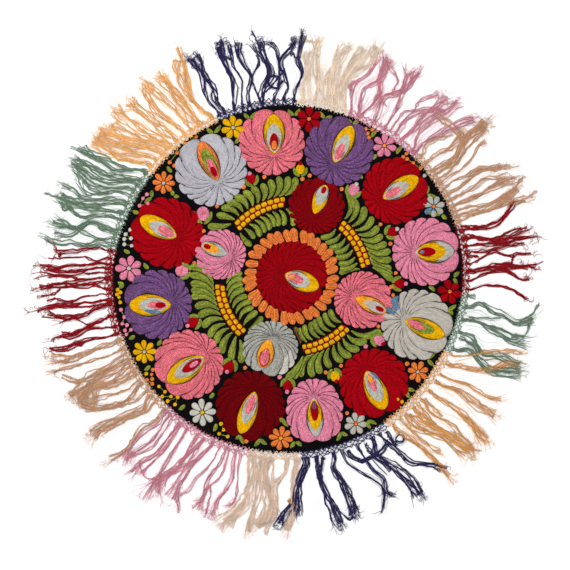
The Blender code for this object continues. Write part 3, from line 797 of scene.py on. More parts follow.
def uneven(tree, coordinates, scale, amount):
    """A number that wanders by amount either side of 1 over the surface."""
    noise = put(tree, "ShaderNodeTexNoise", {"Vector": coordinates, "Scale": scale, "Detail": 2.0})
    return put(tree, "ShaderNodeMapRange", {
        "Value": noise.outputs["Fac"], "From Min": NOISE_RANGE[0], "From Max": NOISE_RANGE[1],
        "To Min": 1 - amount, "To Max": 1 + amount}).outputs["Result"]


def new_finish(name):
    """A new material, its tree and its shader."""
    material = bpy.data.materials.new(name)
    material.use_nodes = True
    return material, material.node_tree, material.node_tree.nodes["Principled BSDF"]


def silk(name, colour, grain_and_thread_shade, shine=SILK_SHINE):
    """Floss silk: fine threads, streaks and specks of grain with painted shade and sheen, and uneven dye."""
    material, tree, shader = new_finish(name)
    place = put(tree, "ShaderNodeTexCoord").outputs["Object"]
    along = put(tree, "ShaderNodeUVMap", uv_map="UVMap").outputs["UV"]
    streaks = put(tree, "ShaderNodeMapping", {"Vector": along, "Scale": STREAK_SCALE}).outputs["Vector"]
    light = put(tree, "ShaderNodeAttribute", attribute_name="tint", attribute_type="GEOMETRY").outputs["Fac"]
    # Painted shade and sheen, with the silk's grain: streaks along the threads and fine specks lighten and
    # darken the colour, beside the shape's tint and broad patches of dye.
    for pattern in ((streaks, 1.0, grain_and_thread_shade), (place, SPECK_SCALE, grain_and_thread_shade), (place, PATCH_SCALE, PATCHINESS)):
        light = number(tree, "MULTIPLY", light, uneven(tree, *pattern))
    threads = put(tree, "ShaderNodeTexWave", {
        "Vector": along, "Scale": WAVE_TURN / THREAD_PITCH, "Distortion": 1.5, "Detail": 1.0,
        "Detail Scale": 2.0}, wave_type="BANDS", bands_direction="Y").outputs["Fac"]
    relief = put(tree, "ShaderNodeBump", {"Height": threads, "Strength": 0.5, "Distance": THREAD_RELIEF})
    give(tree, shader, {
        "Base Color": scaled(tree, linear(colour), light), "Normal": relief.outputs["Normal"],
        "Roughness": SILK_ROUGHNESS, "Specular IOR Level": shine, "Sheen Weight": shine / 4,
        "Sheen Roughness": 0.45})
    material.diffuse_color = (*linear(colour), 1.0)
    return material


def wool(name, colour):
    """Plain black wool: a fine close weave under a short nap."""
    material, tree, shader = new_finish(name)
    place = put(tree, "ShaderNodeTexCoord").outputs["Object"]
    warp, weft = (put(tree, "ShaderNodeTexWave", {"Vector": place, "Scale": WEAVE_SCALE, "Distortion": 2.0},
                      bands_direction=way).outputs["Fac"] for way in "XY")
    relief = put(tree, "ShaderNodeBump", {
        "Height": number(tree, "MAXIMUM", warp, weft), "Strength": 0.6, "Distance": WEAVE_RELIEF})
    fibres, wear = uneven(tree, place, FIBRE_SCALE, 0.4), uneven(tree, place, WEAR_SCALE, 0.2)
    give(tree, shader, {
        "Base Color": scaled(tree, linear(colour), number(tree, "MULTIPLY", fibres, wear)),
        "Normal": relief.outputs["Normal"], "Roughness": 0.9, "Specular IOR Level": DULL_SHINE,
        "Sheen Weight": 0.01})
    return material


def start_tree(name, *sizes):
    """Begin a tree that takes a guide, a number for each size and a finish, and give the guide as a curve."""
    tree = bpy.data.node_groups.new(name, "GeometryNodeTree")
    tree.interface.new_socket("Guide", in_out="INPUT", socket_type="NodeSocketGeometry")
    for size in sizes:
        tree.interface.new_socket(size, in_out="INPUT", socket_type="NodeSocketFloat")
    tree.interface.new_socket("Finish", in_out="INPUT", socket_type="NodeSocketMaterial")
    tree.interface.new_socket("Piece", in_out="OUTPUT", socket_type="NodeSocketGeometry")
    given = tree.nodes.new("NodeGroupInput").outputs
    return tree, given, put(tree, "GeometryNodeMeshToCurve", {"Mesh": given["Guide"]}).outputs["Curve"]


def end_tree(tree, given, piece, chart):
    """Close a tree: real geometry with the chart that its silk follows, smooth, in its finish."""
    piece = keep(tree, piece, "UVMap", chart, "FLOAT2", "CORNER")
    whole = put(tree, "GeometryNodeRealizeInstances", {"Geometry": piece}).outputs[0]
    smooth = put(tree, "GeometryNodeSetShadeSmooth", {"Geometry": whole}).outputs[0]
    finished = put(tree, "GeometryNodeSetMaterial", {"Geometry": smooth, "Material": given["Finish"]})
    put(tree, "NodeGroupOutput", {"Piece": finished.outputs[0]})
    return tree


def live(sockets, name):
    """The socket of a name that the node's settings leave in use."""
    return next(socket for socket in sockets if socket.name == name and socket.enabled)


def keep(tree, geometry, name, value, kind="FLOAT", domain="POINT"):
    """Store a value on geometry under a name, so that it lasts through a sweep."""
    stored = put(tree, "GeometryNodeStoreNamedAttribute", {"Geometry": geometry, "Name": name},
                 data_type=kind, domain=domain)
    tree.links.new(value, live(stored.inputs, "Value"))
    return stored.outputs["Geometry"]


def kept(tree, name, kind="FLOAT"):
    """Read a stored value back."""
    read = put(tree, "GeometryNodeInputNamedAttribute", {"Name": name}, data_type=kind)
    return live(read.outputs, "Attribute")


def position(tree):
    """Where each point is."""
    return put(tree, "GeometryNodeInputPosition").outputs[0]


def run(tree):
    """How far along its line each point is."""
    return put(tree, "GeometryNodeSplineParameter").outputs["Length"]


def ring(tree, corners):
    """A ring of radius 1 to sweep."""
    circle = put(tree, "GeometryNodeCurvePrimitiveCircle", {"Resolution": corners, "Radius": 1.0})
    return circle.outputs["Curve"]


def sweep(tree, curve, profile, scale=1.0):
    """Sweep a ring along a curve, closed at both ends."""
    return put(tree, "GeometryNodeCurveToMesh", {
        "Curve": curve, "Profile Curve": profile, "Scale": scale, "Fill Caps": True}).outputs[0]


def raised_stitching_tree():
    """Padded satin stitch: a closed dome swept along each guide line, as wide and as high as the guide says.

    Full Half Width is the half width from which a shape stands to its whole height.
    """
    tree, given, curve = start_tree("raised_stitching", "Full Half Width")
    curve = keep(tree, curve, "spine", position(tree), "FLOAT_VECTOR")
    curve = keep(tree, curve, "run", run(tree))
    profile = keep(tree, ring(tree, DOME_CORNERS), "ring", position(tree), "FLOAT_VECTOR")
    swept = sweep(tree, curve, profile)
    sideways, up, _ = parted(tree, kept(tree, "ring", "FLOAT_VECTOR"))
    half = kept(tree, "half")
    full = number(tree, "MINIMUM", number(tree, "DIVIDE", half, given["Full Half Width"]), 1.0)
    dome = number(tree, "POWER", number(tree, "MAXIMUM", up, 0.0), DOME_POWER)
    rise = number(tree, "MULTIPLY", number(tree, "MULTIPLY", dome, kept(tree, "lift")), full)
    offset = number(tree, "MULTIPLY", sideways, half)
    place = vector(tree, "ADD", kept(tree, "spine", "FLOAT_VECTOR"),
                   scaled(tree, kept(tree, "sideways", "FLOAT_VECTOR"), offset))
    place = vector(tree, "ADD", place, combined(tree, Z=rise))
    shaped = put(tree, "GeometryNodeSetPosition", {"Geometry": swept, "Position": place}).outputs[0]
    return end_tree(tree, given, shaped, combined(tree, X=kept(tree, "run"), Y=offset))


def silk_threads_tree():
    """Round threads along the guide lines, Thickness times as thick as the guide says."""
    tree, given, curve = start_tree("silk_threads", "Thickness")
    curve = keep(tree, curve, "run", run(tree))
    radius = number(tree, "MULTIPLY", kept(tree, "half"), given["Thickness"])
    swept = sweep(tree, curve, ring(tree, THREAD_CORNERS), radius)
    return end_tree(tree, given, swept, combined(tree, X=kept(tree, "run")))


def knotted_net_tree():
    """A net heading: zigzag threads in rows along the guide, with a knot where two rows meet.

    Pitch is the width of a mesh, Row its height, Thread a thread's thickness, Knot a knot's size and Slack
    how far the threads wander.
    """
    tree, given, curve = start_tree("knotted_net", "Pitch", "Row", "Thread", "Knot", "Slack")
    half_pitch = number(tree, "MULTIPLY", given["Pitch"], 0.5)
    curve = put(tree, "GeometryNodeResampleCurve", {"Curve": curve, "Length": half_pitch},
                mode="LENGTH").outputs[0]
    tangent = put(tree, "GeometryNodeInputTangent").outputs[0]
    outward = vector(tree, "NORMALIZE", vector(tree, "CROSS_PRODUCT", tangent, (0.0, 0.0, 1.0)))
    index = put(tree, "GeometryNodeInputIndex").outputs[0]
    odd = number(tree, "MODULO", index, 2.0)
    thread = ring(tree, NET_CORNERS)
    joined = tree.nodes.new("GeometryNodeJoinGeometry")
    for row in range(NET_ROWS):
        side = odd if row % 2 else number(tree, "SUBTRACT", 1.0, odd)
        height = number(tree, "MULTIPLY", number(tree, "ADD", side, float(row)), given["Row"])
        slack = put(tree, "FunctionNodeRandomValue", {
            "Min": (-1.0, -1.0, 0.0), "Max": (1.0, 1.0, 0.0), "Seed": row}, data_type="FLOAT_VECTOR")
        slack = scaled(tree, slack.outputs[0], given["Slack"])
        place = vector(tree, "ADD", scaled(tree, outward, height), slack)
        zigzag = put(tree, "GeometryNodeSetPosition", {"Geometry": curve, "Offset": place}).outputs[0]
        rounder = put(tree, "GeometryNodeCurveSplineType", {"Curve": zigzag}, spline_type="CATMULL_ROM")
        rounder = put(tree, "GeometryNodeSetSplineResolution", {
            "Geometry": rounder.outputs[0], "Resolution": NET_SMOOTHNESS})
        tree.links.new(sweep(tree, rounder.outputs[0], thread, given["Thread"]), joined.inputs[0])
        knot = put(tree, "GeometryNodeMeshIcoSphere", {"Radius": given["Knot"], "Subdivisions": 1})
        meets = put(tree, "FunctionNodeCompare", {0: side, 1: 0.5}, operation="GREATER_THAN",
                    data_type="FLOAT")
        knots = put(tree, "GeometryNodeInstanceOnPoints", {
            "Points": zigzag, "Selection": meets.outputs[0], "Instance": knot.outputs["Mesh"]})
        tree.links.new(knots.outputs[0], joined.inputs[0])
    whole = put(tree, "GeometryNodeRealizeInstances", {"Geometry": joined.outputs[0]}).outputs[0]
    at = parted(tree, position(tree))
    tones = put(tree, "FunctionNodeRandomValue", {
        "Min": NET_TONES[0], "Max": NET_TONES[1], "ID": index, "Seed": NET_TONE_SEED}, data_type="FLOAT")
    whole = keep(tree, whole, "tint", live(tones.outputs, "Value"))
    return end_tree(tree, given, whole, combined(tree, X=at["X"], Y=at["Y"]))


# One line for a sweep: its points, and at each the half width and the rise of the stitching in metres, the
# tint of the silk, which on the embroidery is uneven dye and painted sheen, and the direction of its width,
# which round threads do without.
Line = namedtuple("Line", "points half lift tint sideways", defaults=(0.0, 1.0, None))


def add_object(name, data):
    """A new object in the scene for a mesh, a lamp or a camera."""
    piece = bpy.data.objects.new(name, data)
    bpy.context.scene.collection.objects.link(piece)
    return piece


def guide(name, lines):
    """A mesh of edges, one chain for each line, that carries the lines' numbers."""
    points = np.concatenate([line.points for line in lines])
    edges, first = [], 0
    for line in lines:
        last = first + len(line.points)
        edges += [(i, i + 1) for i in range(first, last - 1)]
        first = last
    mesh = bpy.data.meshes.new(name)
    mesh.from_pydata(points.tolist(), edges, [])
    for label in ("half", "lift", "tint"):
        values = np.concatenate([np.broadcast_to(getattr(line, label), len(line.points)) for line in lines])
        mesh.attributes.new(label, "FLOAT", "POINT").data.foreach_set("value", values.astype(np.float32))
    if lines[0].sideways is not None:
        flat = np.concatenate([line.sideways for line in lines])
        values = np.column_stack((flat, np.zeros(len(flat)))).astype(np.float32).ravel()
        mesh.attributes.new("sideways", "FLOAT_VECTOR", "POINT").data.foreach_set("vector", values)
    return add_object(name, mesh)


def grow(piece, tree, finish, **sizes):
    """Run a tree on a guide and keep the result as a plain mesh, facing outwards."""
    modifier = piece.modifiers.new(tree.name, "NODES")
    modifier.node_group = tree
    values = {"Finish": finish, **{key.replace("_", " "): value for key, value in sizes.items()}}
    for socket in tree.interface.items_tree:
        if socket.in_out == "INPUT" and socket.name in values:
            modifier[socket.identifier] = values[socket.name]
    mesh = bpy.data.meshes.new_from_object(piece.evaluated_get(bpy.context.evaluated_depsgraph_get()))
    piece.modifiers.clear()
    piece.data = mesh
    mesh.name = piece.name
    for label in ("half", "lift", "spine", "sideways", "ring", "run"):
        if label in mesh.attributes:
            mesh.attributes.remove(mesh.attributes[label])
    turn_outwards(mesh)
    return piece


def turn_outwards(mesh):
    """Turn the faces of a closed mesh outwards if the room that they enclose comes out less than nothing."""
    corners = np.empty(len(mesh.vertices) * 3, np.float32)
    mesh.vertices.foreach_get("co", corners)
    corners = corners.reshape(-1, 3).astype(float)
    mesh.calc_loop_triangles()
    triangles = np.empty(len(mesh.loop_triangles) * 3, np.int32)
    mesh.loop_triangles.foreach_get("vertices", triangles)
    a, b, c = (corners[triangles.reshape(-1, 3)[:, i]] for i in range(3))
    if np.einsum("ij,ij->i", a, np.cross(b, c)).sum() < 0:
        mesh.flip_normals()


def joined_rings(first, count, rings):
    """Four-sided faces between rings of count points, the highest and innermost ring first."""
    faces = []
    for near in range(first, first + (rings - 1) * count, count):
        for k in range(count):
            after = (k + 1) % count
            faces.append((near + k, near + count + k, near + count + after, near + after))
    return faces


def unit(degrees):
    """The direction at an angle."""
    return np.array((math.cos(math.radians(degrees)), math.sin(math.radians(degrees))))


def left_of(direction):
    """A direction turned a quarter turn counterclockwise."""
    return np.array((-direction[1], direction[0]))


def on_plan(angle, radius):
    """A point in millimetres from an angle and a radius, or many at once."""
    turn = np.radians(angle)
    return np.stack((np.cos(turn) * radius, np.sin(turn) * radius), axis=-1)


def raised(path, height):
    """Points on the plan, in millimetres, at one height or at a height each, as places in metres."""
    return np.column_stack((path, np.broadcast_to(height, len(path)))) * MM


def lengths_along(path):
    """How far along a path each of its points is."""
    return np.concatenate(([0], np.cumsum(np.linalg.norm(np.diff(path, axis=0), axis=1))))


def between(before, start, end, after, t):
    """The place a share t of the way from start to end, on a smooth curve that its neighbours bend."""
    return 0.5 * (2 * start + (end - before) * t + (2 * before - 5 * start + 4 * end - after) * t ** 2
                  + (3 * start - before - 3 * end + after) * t ** 3)


def rim_radius(angle):
    """The radius of the cloth's rim at an angle: a closed smooth curve through RIM_RADII."""
    count = len(RIM_RADII)
    at = (angle % 360) / (360 / count)
    return between(*(RIM_RADII[(int(at) + step) % count] for step in (-1, 0, 1, 2)), at % 1)


def smooth_path(points, steps):
    """A smooth line through (angle, radius) points, as angles and radii."""
    points = np.array(points, float)
    ends = np.vstack((2 * points[0] - points[1], points, 2 * points[-1] - points[-2]))
    spans = len(points) - 1
    out = []
    for at in np.linspace(0, spans, steps):
        span = min(int(at), spans - 1)
        out.append(between(*ends[span:span + 4], at - span))
    return np.array(out)


def bow(start, end, bend, steps=24):
    """A curve from start to end whose middle stands left of the straight line by bend times its length."""
    start, end = np.array(start, float), np.array(end, float)
    control = (start + end) / 2 + left_of(end - start) * bend * 2
    t = np.linspace(0, 1, steps)[:, None]
    return (1 - t) ** 2 * start + 2 * t * (1 - t) * control + t ** 2 * end


def across(path):
    """The direction across a path at each of its points."""
    heading = np.gradient(path, axis=0)
    heading /= np.linalg.norm(heading, axis=1)[:, None]
    return np.column_stack((-heading[:, 1], heading[:, 0]))


def lens_half(share, width):
    """Half the width of a pointed oval, widest a little past its middle."""
    return width / 2 * np.sin(np.pi * np.clip(share, 0, 1) ** LENS_LEAN) ** LENS_FULLNESS


def widening(root, full_at, stations):
    """The width along a shape, of its greatest: from root at its start to 1 at the share full_at of it."""
    share = np.linspace(0, 1, stations)
    return root + (1 - root) * np.sin(np.pi / 2 * np.minimum(share / full_at, 1))


class Stitching:
    """All the shapes of the embroidery, sorted by kind and silk."""

    def __init__(self, seed):
        self.lines = {}
        self.dye_and_sheen = random.Random(seed)

    def shape(self, kind, silk_name, path, halves, layer=0.0, lift=PETAL_LIFT, tones=DYE_AND_SHEEN_SPREAD,
              sideways=None):
        """Add one padded shape: a path and its half widths, in millimetres."""
        # Each shape's tone: uneven dye, and painted sheen for threads that catch the light differently.
        tone = self.dye_and_sheen.uniform(1 - tones, 1 + tones)
        if sideways is None:
            sideways = across(path)
        halves = np.maximum(halves, LEAST_HALF_WIDTH) * MM
        line = Line(raised(path, STITCH_BASE + layer), halves, lift * MM, tone, sideways)
        self.lines.setdefault((kind, silk_name), []).append(line)

    def thread(self, kind, silk_name, path, halves, layer):
        """Add one thread that lies on the shapes."""
        self.shape(kind, silk_name, path, halves, layer, THREAD_LIFT)

    def capped(self, kind, silk_name, path, halves, cap=1.0, stations=12, **more):
        """Add a shape with a rounded far end: cap is the rounding's length, of the half width there."""
        steps = lengths_along(path)
        total = steps[-1]
        rounding = min(max(np.interp(CAP_SEAT * total, steps, halves) * cap, LEAST_CAP), MOST_CAP * total)
        body = np.linspace(0, total - rounding, stations - len(CAP_TURNS))
        places = np.concatenate((body, total - rounding + rounding * np.sin(CAP_TURNS)))
        widths = np.interp(places, steps, halves)
        widths[len(body):] = widths[len(body) - 1] * np.cos(CAP_TURNS)
        smooth = np.column_stack([np.interp(places, steps, path[:, i]) for i in range(2)])
        self.shape(kind, silk_name, smooth, widths, **more)

    def knob(self, kind, silk_name, centre, size, layer):
        """Add a round knob."""
        reach = np.cos(np.linspace(math.pi, 0, KNOB_STATIONS)) * size / 2
        halves = np.sqrt(np.maximum((size / 2) ** 2 - reach ** 2, 0))
        self.shape(kind, silk_name, np.array(centre) + reach[:, None] * KNOB_DIRECTION, halves, layer)


def rose_border(spec, angle, side):
    """A border between two petals, from where the petals meet to the rim at an angle from the eye."""
    axis = unit(spec.direction)
    turn = math.radians(angle)
    rim = (np.array(spec.centre) + axis * (spec.radii[0] - NOTCH_DEPTH) * math.cos(turn)
           + left_of(axis) * side * (spec.radii[1] - NOTCH_DEPTH) * math.sin(turn))
    bend = PETAL_BEND * max(math.cos(turn / 2), 0) ** PETAL_BEND_FADE
    return bow(spec.root, rim, bend * side, BORDER_STEPS)


def eye_border(spec, side):
    """The inner border of the petal beside the eye: round the eye, then out to the notch beyond its tip."""
    axis = unit(spec.direction)
    _, start, end, width = spec.lenses[0]
    along = np.linspace(0, 1, BORDER_STEPS) * (end - start + EYE_NOTCH)
    spread = lens_half(along / (end - start), width) + EYE_GAP
    return (np.array(spec.eye or spec.root) + axis * start + np.outer(along, axis)
            + np.outer(spread, left_of(axis) * side))


def petal(work, silk_name, inner, outer, side, layer=0.0):
    """One petal between two borders, its outer end a lobe that stands out past the notches at their ends."""
    apart = (outer - inner) * side
    width = np.linalg.norm(apart, axis=1)
    sideways = apart / np.maximum(width, 0.01)[:, None]
    sideways[0] = sideways[1]
    rows = np.linspace(0, len(inner) - 1, PETAL_STATIONS).round().astype(int)
    middle = ((inner + outer) / 2)[rows]
    halves = np.maximum((width[rows] - PETAL_GAP) / 2, 0.05)
    reach = max(width[-1] * LOBE, LEAST_LOBE)
    lobe = middle[-1] + np.outer(np.sin(LOBE_TURNS) * reach, -left_of(sideways[-1]))
    work.shape("petals", silk_name, np.vstack((middle, lobe)),
               np.concatenate((halves, halves[-1] * np.cos(LOBE_TURNS))), layer,
               sideways=np.vstack((sideways[rows], np.repeat(sideways[-1:], len(LOBE_TURNS), axis=0))))


def rose(work, spec, chance):
    """The petals of one rose, on both sides of its eye, with a thread between each two."""
    line_width = DARK_LINE if spec.silk in DARK_SILKS else PETAL_LINE
    for side in (1, -1):
        shares = [(k / spec.petals) ** PETAL_CROWDING for k in range(1, spec.petals + 1)]
        angles = [(LAST_BORDER - FIRST_BORDER) * share + FIRST_BORDER
                  + chance.uniform(-BORDER_SHIFT, BORDER_SHIFT) * (share < 1) for share in shares]
        borders = [eye_border(spec, side)] + [rose_border(spec, angle, side) for angle in angles]
        odd = {k: (other, first) for centre, where, places, other, first in ODD_PETALS
               if (centre, where) == (spec.centre, side) for k in places}
        for k, (inner, outer) in enumerate(zip(borders, borders[1:])):
            petal(work, spec.silk, inner, outer, side)
            if k in odd:
                other, first = odd[k]
                start = int(first * len(inner))
                petal(work, other, inner[start:], outer[start:], side, ODD_LAYER)
        for border in borders[1:] if side > 0 else borders[1:-1]:
            seam = border[int(len(border) * LINE_START):-2:3]
            halves = np.array([line_width / 2 * chance.uniform(0.45, 1.15) for _ in seam])
            halves[0] = 0.1
            work.thread("petal_lines", PETAL_LINES[spec.silk], seam, halves, LINE_LAYER)


def eye(work, spec, chance):
    """The eye of one rose: pointed ovals on one another, a dark thread down both sides of each."""
    axis = unit(spec.direction)
    share = (1 - np.cos(np.linspace(0, math.pi, EYE_STATIONS))) / 2
    taper = 0.25 + 0.75 * np.sin(math.pi * share[::2])
    for level, (silk_name, start, end, width) in enumerate(spec.lenses):
        path = np.array(spec.eye or spec.root) + np.outer(start + share * (end - start), axis)
        layer = EYE_LAYER + level * LENS_STEP
        halves = lens_half(share, width)
        work.shape("eyes", silk_name, path, halves, layer)
        if width < LINED_WIDTH:
            continue
        thread = "outline" if level or spec.silk not in DARK_SILKS else PETAL_LINES[spec.silk]
        for side in (1, -1):
            edge = (path + np.outer(halves * side * (EYE_EDGE if level else 1.0), left_of(axis)))[::2]
            thick = np.array([EYE_LINE * chance.uniform(0.6, 1.1) for _ in edge]) * taper
            work.thread("eye_lines", thread, edge, thick, layer if level else layer - OUTERMOST_DROP)


def rose_beds(silk_name, finish):
    """The low padding under the petals of all roses in one silk: flat rounds just inside the petals' ends."""
    points, faces = [], []
    turns = np.linspace(0, 2 * math.pi, BED_TURNS, endpoint=False)
    for spec in ROSES:
        if spec.silk != silk_name:
            continue
        axis = unit(spec.direction)
        ring_points = (np.outer(np.cos(turns) * (spec.radii[0] - BED_INSET), axis)
                       + np.outer(np.sin(turns) * (spec.radii[1] - BED_INSET), left_of(axis)))
        first = len(points)
        for share, height in BED_SECTION:
            points += raised(np.array(spec.centre) + share * ring_points, STITCH_BASE + height).tolist()
        faces.append(tuple(range(first, first + BED_TURNS)))
        faces += joined_rings(first, BED_TURNS, len(BED_SECTION))
        faces.append(tuple(range(len(points) - 1, len(points) - 1 - BED_TURNS, -1)))
    mesh = bpy.data.meshes.new(f"beds_{silk_name}")
    mesh.from_pydata(points, [], faces)
    # Painted shade: a darker tint on the padding that shows in the gaps between the petals.
    tones = np.full(len(points), BED_SHADE, np.float32)
    mesh.attributes.new("tint", "FLOAT", "POINT").data.foreach_set("value", tones)
    mesh.uv_layers.new(name="UVMap")
    mesh.materials.append(finish)
    return add_object(mesh.name, mesh)


def scallop_ring(work, centre, chance):
    """The ring of round-ended orange tabs about the middle rose."""
    halves = SCALLOP_WIDTH / 2 * widening(SCALLOP_ROOT, 1, SCALLOP_STATIONS)
    for k in range(SCALLOPS):
        angle = 360 * (k + chance.uniform(-0.08, 0.08)) / SCALLOPS
        outer = SCALLOP_OUTER * chance.uniform(0.97, 1.02)
        lean = unit(angle + SCALLOP_LEAN * chance.uniform(0.5, 1.1))
        root = np.array(centre) + unit(angle) * outer - lean * (outer - SCALLOP_INNER)
        path = root + np.outer(np.linspace(0, outer - SCALLOP_INNER, SCALLOP_STATIONS), lean)
        work.capped("scallops", "orange", path, halves, cap=1.15, stations=11)
        for off in VEINS:
            vein = path[1:-2:3] + left_of(lean) * off * SCALLOP_WIDTH / 2
            work.thread("veins", "deep_orange", vein, VEIN / 2, VEIN_LAYER)


def blunt_leaf(work, root, tip, width, bend, silk_name):
    """One club-shaped leaf, narrow at its root, with a dark thread beside it."""
    path = bow(root, tip, bend)
    halves = width / 2 * widening(BLUNT_ROOT, BLUNT_FULL, len(path))
    work.capped("leaves", silk_name, path, halves, cap=BLUNT_CAP, layer=LEAF_LAYER, tones=LEAF_TONES)
    edge = (path + across(path) * halves[:, None] * LEAF_LINE_PLACE)[1:-3:3]
    work.thread("leaf_lines", "outline", edge, LEAF_LINE / 2, LEAF_LINE_LAYER)


def pointed_leaf(work, root, tip, width, bend):
    """One small leaf, pointed at both ends."""
    path = bow(root, tip, bend)
    halves = width / 2 * np.sin(np.pi * np.linspace(0, 1, len(path)) ** POINT_LEAN) ** POINT_FULLNESS
    work.shape("leaves", "leaf", path[::2], halves[::2], LEAF_LAYER, tones=LEAF_TONES)


def arc(spec, share):
    """A place on the middle of a garland's band, as an angle and a radius."""
    angle = spec.start + (spec.end - spec.start) * share
    radius = spec.start_radius + (spec.end_radius - spec.start_radius) * share
    return angle, radius


def band(work, spec):
    """A garland's band: yellow seeds in two rows on a dark red ground, a dark bar after each seed."""
    share = np.linspace(0, 1, BAND_STATIONS)
    ends = np.minimum(np.minimum(share, 1 - share) / BAND_ROUNDING, 1) ** 0.5
    work.shape("bands", "rust", on_plan(*arc(spec, share)), BAND_WIDTH / 2 * np.maximum(ends, 0.1),
               BAND_LAYER, BAND_LIFT)
    length = abs(math.radians(spec.end - spec.start)) * (spec.start_radius + spec.end_radius) / 2
    step, half = 1 / spec.seeds, SEED_LENGTH / length / 2
    for row in (1, -1):
        off = -row * SEED_ROW
        for k in range(spec.seeds):
            middle = (k + 0.5 + SEED_SHIFT * row) * step
            reach = np.linspace(max(middle - half, 0.005), min(middle + half, 0.995), len(SEED_SHAPE))
            turn, out = arc(spec, reach)
            work.shape("seeds", "yellow", on_plan(turn, out + off), SEED_WIDTH / 2 * SEED_SHAPE, SEED_LAYER)
            turn, out = arc(spec, min((k + 1 + SEED_SHIFT * row) * step, 1))
            bar = on_plan(turn, out + off + np.linspace(-SEED_WIDTH / 2, SEED_WIDTH / 2, SEED_BAR_STATIONS))
            work.shape("seed_lines", "outline", bar, SEED_BAR, SEED_BAR_LAYER)


def garland(work, spec, chance):
    """A band of seeds with leaves out of both its edges."""
    band(work, spec)
    toward = 1 if spec.end > spec.start else -1
    middle = (spec.start + spec.end) / 2

    def place_along(tip):
        """How far along the band a tip lies."""
        turn = math.degrees(math.atan2(tip[1], tip[0]))
        return toward * ((turn - middle + 180) % 360 - 180)

    for tips, off, width, bend in ((spec.outer, BAND_WIDTH / 2 + 1, OUTER_LEAF_WIDTH, -LEAF_BEND),
                                   (spec.inner, -BAND_WIDTH / 2 - 1, INNER_LEAF_WIDTH, LEAF_BEND)):
        for k, tip in enumerate(sorted(tips, key=place_along)):
            share = k / (len(tips) - 1)
            turn, out = arc(spec, share * LEAF_SPAN)
            straighter = 1 - LEAF_TURN * max(share - LEAF_TURN_START, 0)
            blunt_leaf(work, on_plan(turn, out + off), tip, width * chance.uniform(0.94, 1.06),
                       bend * straighter, "umber" if tip in BROWN_LEAVES else "leaf")


def flower(work, spec, chance):
    """A small open flower: separate round-ended petals about a knob."""
    first = chance.uniform(0, 360)
    widest = math.pi * spec.radius * FLOWER_WIDEST / spec.petals - FLOWER_GAP
    halves = widest * widening(FLOWER_ROOT, FLOWER_FULL, FLOWER_STATIONS)
    for k in range(spec.petals):
        turn = first + 360 * (k + chance.uniform(-0.05, 0.05)) / spec.petals
        reach = spec.radius * np.linspace(FLOWER_HEART, chance.uniform(0.95, 1.04), FLOWER_STATIONS)
        path = np.array(spec.centre) + np.outer(reach, unit(turn))
        work.capped("flowers", spec.silk, path, halves)
        for centre, which, share in BLUE_PETALS:
            if (centre, which) == (spec.centre, k):
                part = round(share * len(path))
                work.capped("flowers", "blue", path[:part], halves[:part], layer=BLUE_LAYER)
    work.knob("flower_middles", spec.middle, spec.centre, spec.radius * FLOWER_KNOB, FLOWER_KNOB_LAYER)


def bud(work, spec):
    """A closed flower in a green cup, with a spot at its tip."""
    centre = np.array(spec.centre, float)
    axis = np.array(spec.place, float) - centre
    axis /= np.linalg.norm(axis)
    length = spec.width * BUD_LENGTH
    path = centre + np.outer((np.linspace(0, 1, BUD_STATIONS) - 0.5) * length * BUD_REACH, axis)
    halves = spec.width / 2 * widening(BUD_ROOT, BUD_FULL, BUD_STATIONS)
    work.capped("buds", spec.silk, path, halves, layer=BUD_LAYER)
    work.knob("bud_spots", spec.spot, spec.place, SPOT_SIZE, SPOT_LAYER)
    root = centre - axis * length * CUP_ROOT
    for side in (1, -1):
        tip = centre + axis * length * CUP_TIP + left_of(axis) * side * (spec.width / 2 + CUP_OPENING)
        pointed_leaf(work, root, tip, CUP_WIDTH, CUP_BEND * side)


def pattern():
    """Work the whole pattern, and give its lines by kind and silk."""
    chance = random.Random(PATTERN_SEED)
    work = Stitching(DYE_AND_SHEEN_SEED)
    for spec in ROSES:
        rose(work, spec, chance)
        eye(work, spec, chance)
    for start, end, bend, width in STRIPES:
        halves = lens_half(np.linspace(0, 1, STRIPE_STATIONS), width)
        work.shape("stripes", "blue", bow(start, end, bend, STRIPE_STATIONS), halves, STRIPE_LAYER)
    scallop_ring(work, ROSES[-1].centre, chance)
    for spec in GARLANDS:
        garland(work, spec, chance)
    for spec in FLOWERS:
        flower(work, spec, chance)
    for spec in BUDS:
        bud(work, spec)
    for size, rows in ((BERRY_SIZE, SINGLE_BERRIES), (SPRAY_BERRY_SIZE, SPRAYS)):
        for silk_name, centres in rows:
            for centre in centres:
                work.knob("berries", silk_name, centre, size * chance.uniform(0.9, 1.1), BERRY_LAYER)
    for _, stem in SPRAYS:
        work.shape("stems", "leaf", np.array(stem, float), STEM, STEM_LAYER, STEM_LIFT)
    for *tips, root in LEAF_PAIRS:
        for tip, bend in zip(tips, (RIM_LEAF_BEND, -RIM_LEAF_BEND)):
            pointed_leaf(work, root, tip, RIM_LEAF_WIDTH, bend)
    for tip, root in LEAF_SINGLES:
        pointed_leaf(work, root, tip, RIM_LEAF_WIDTH, RIM_LEAF_BEND)
    return work.lines


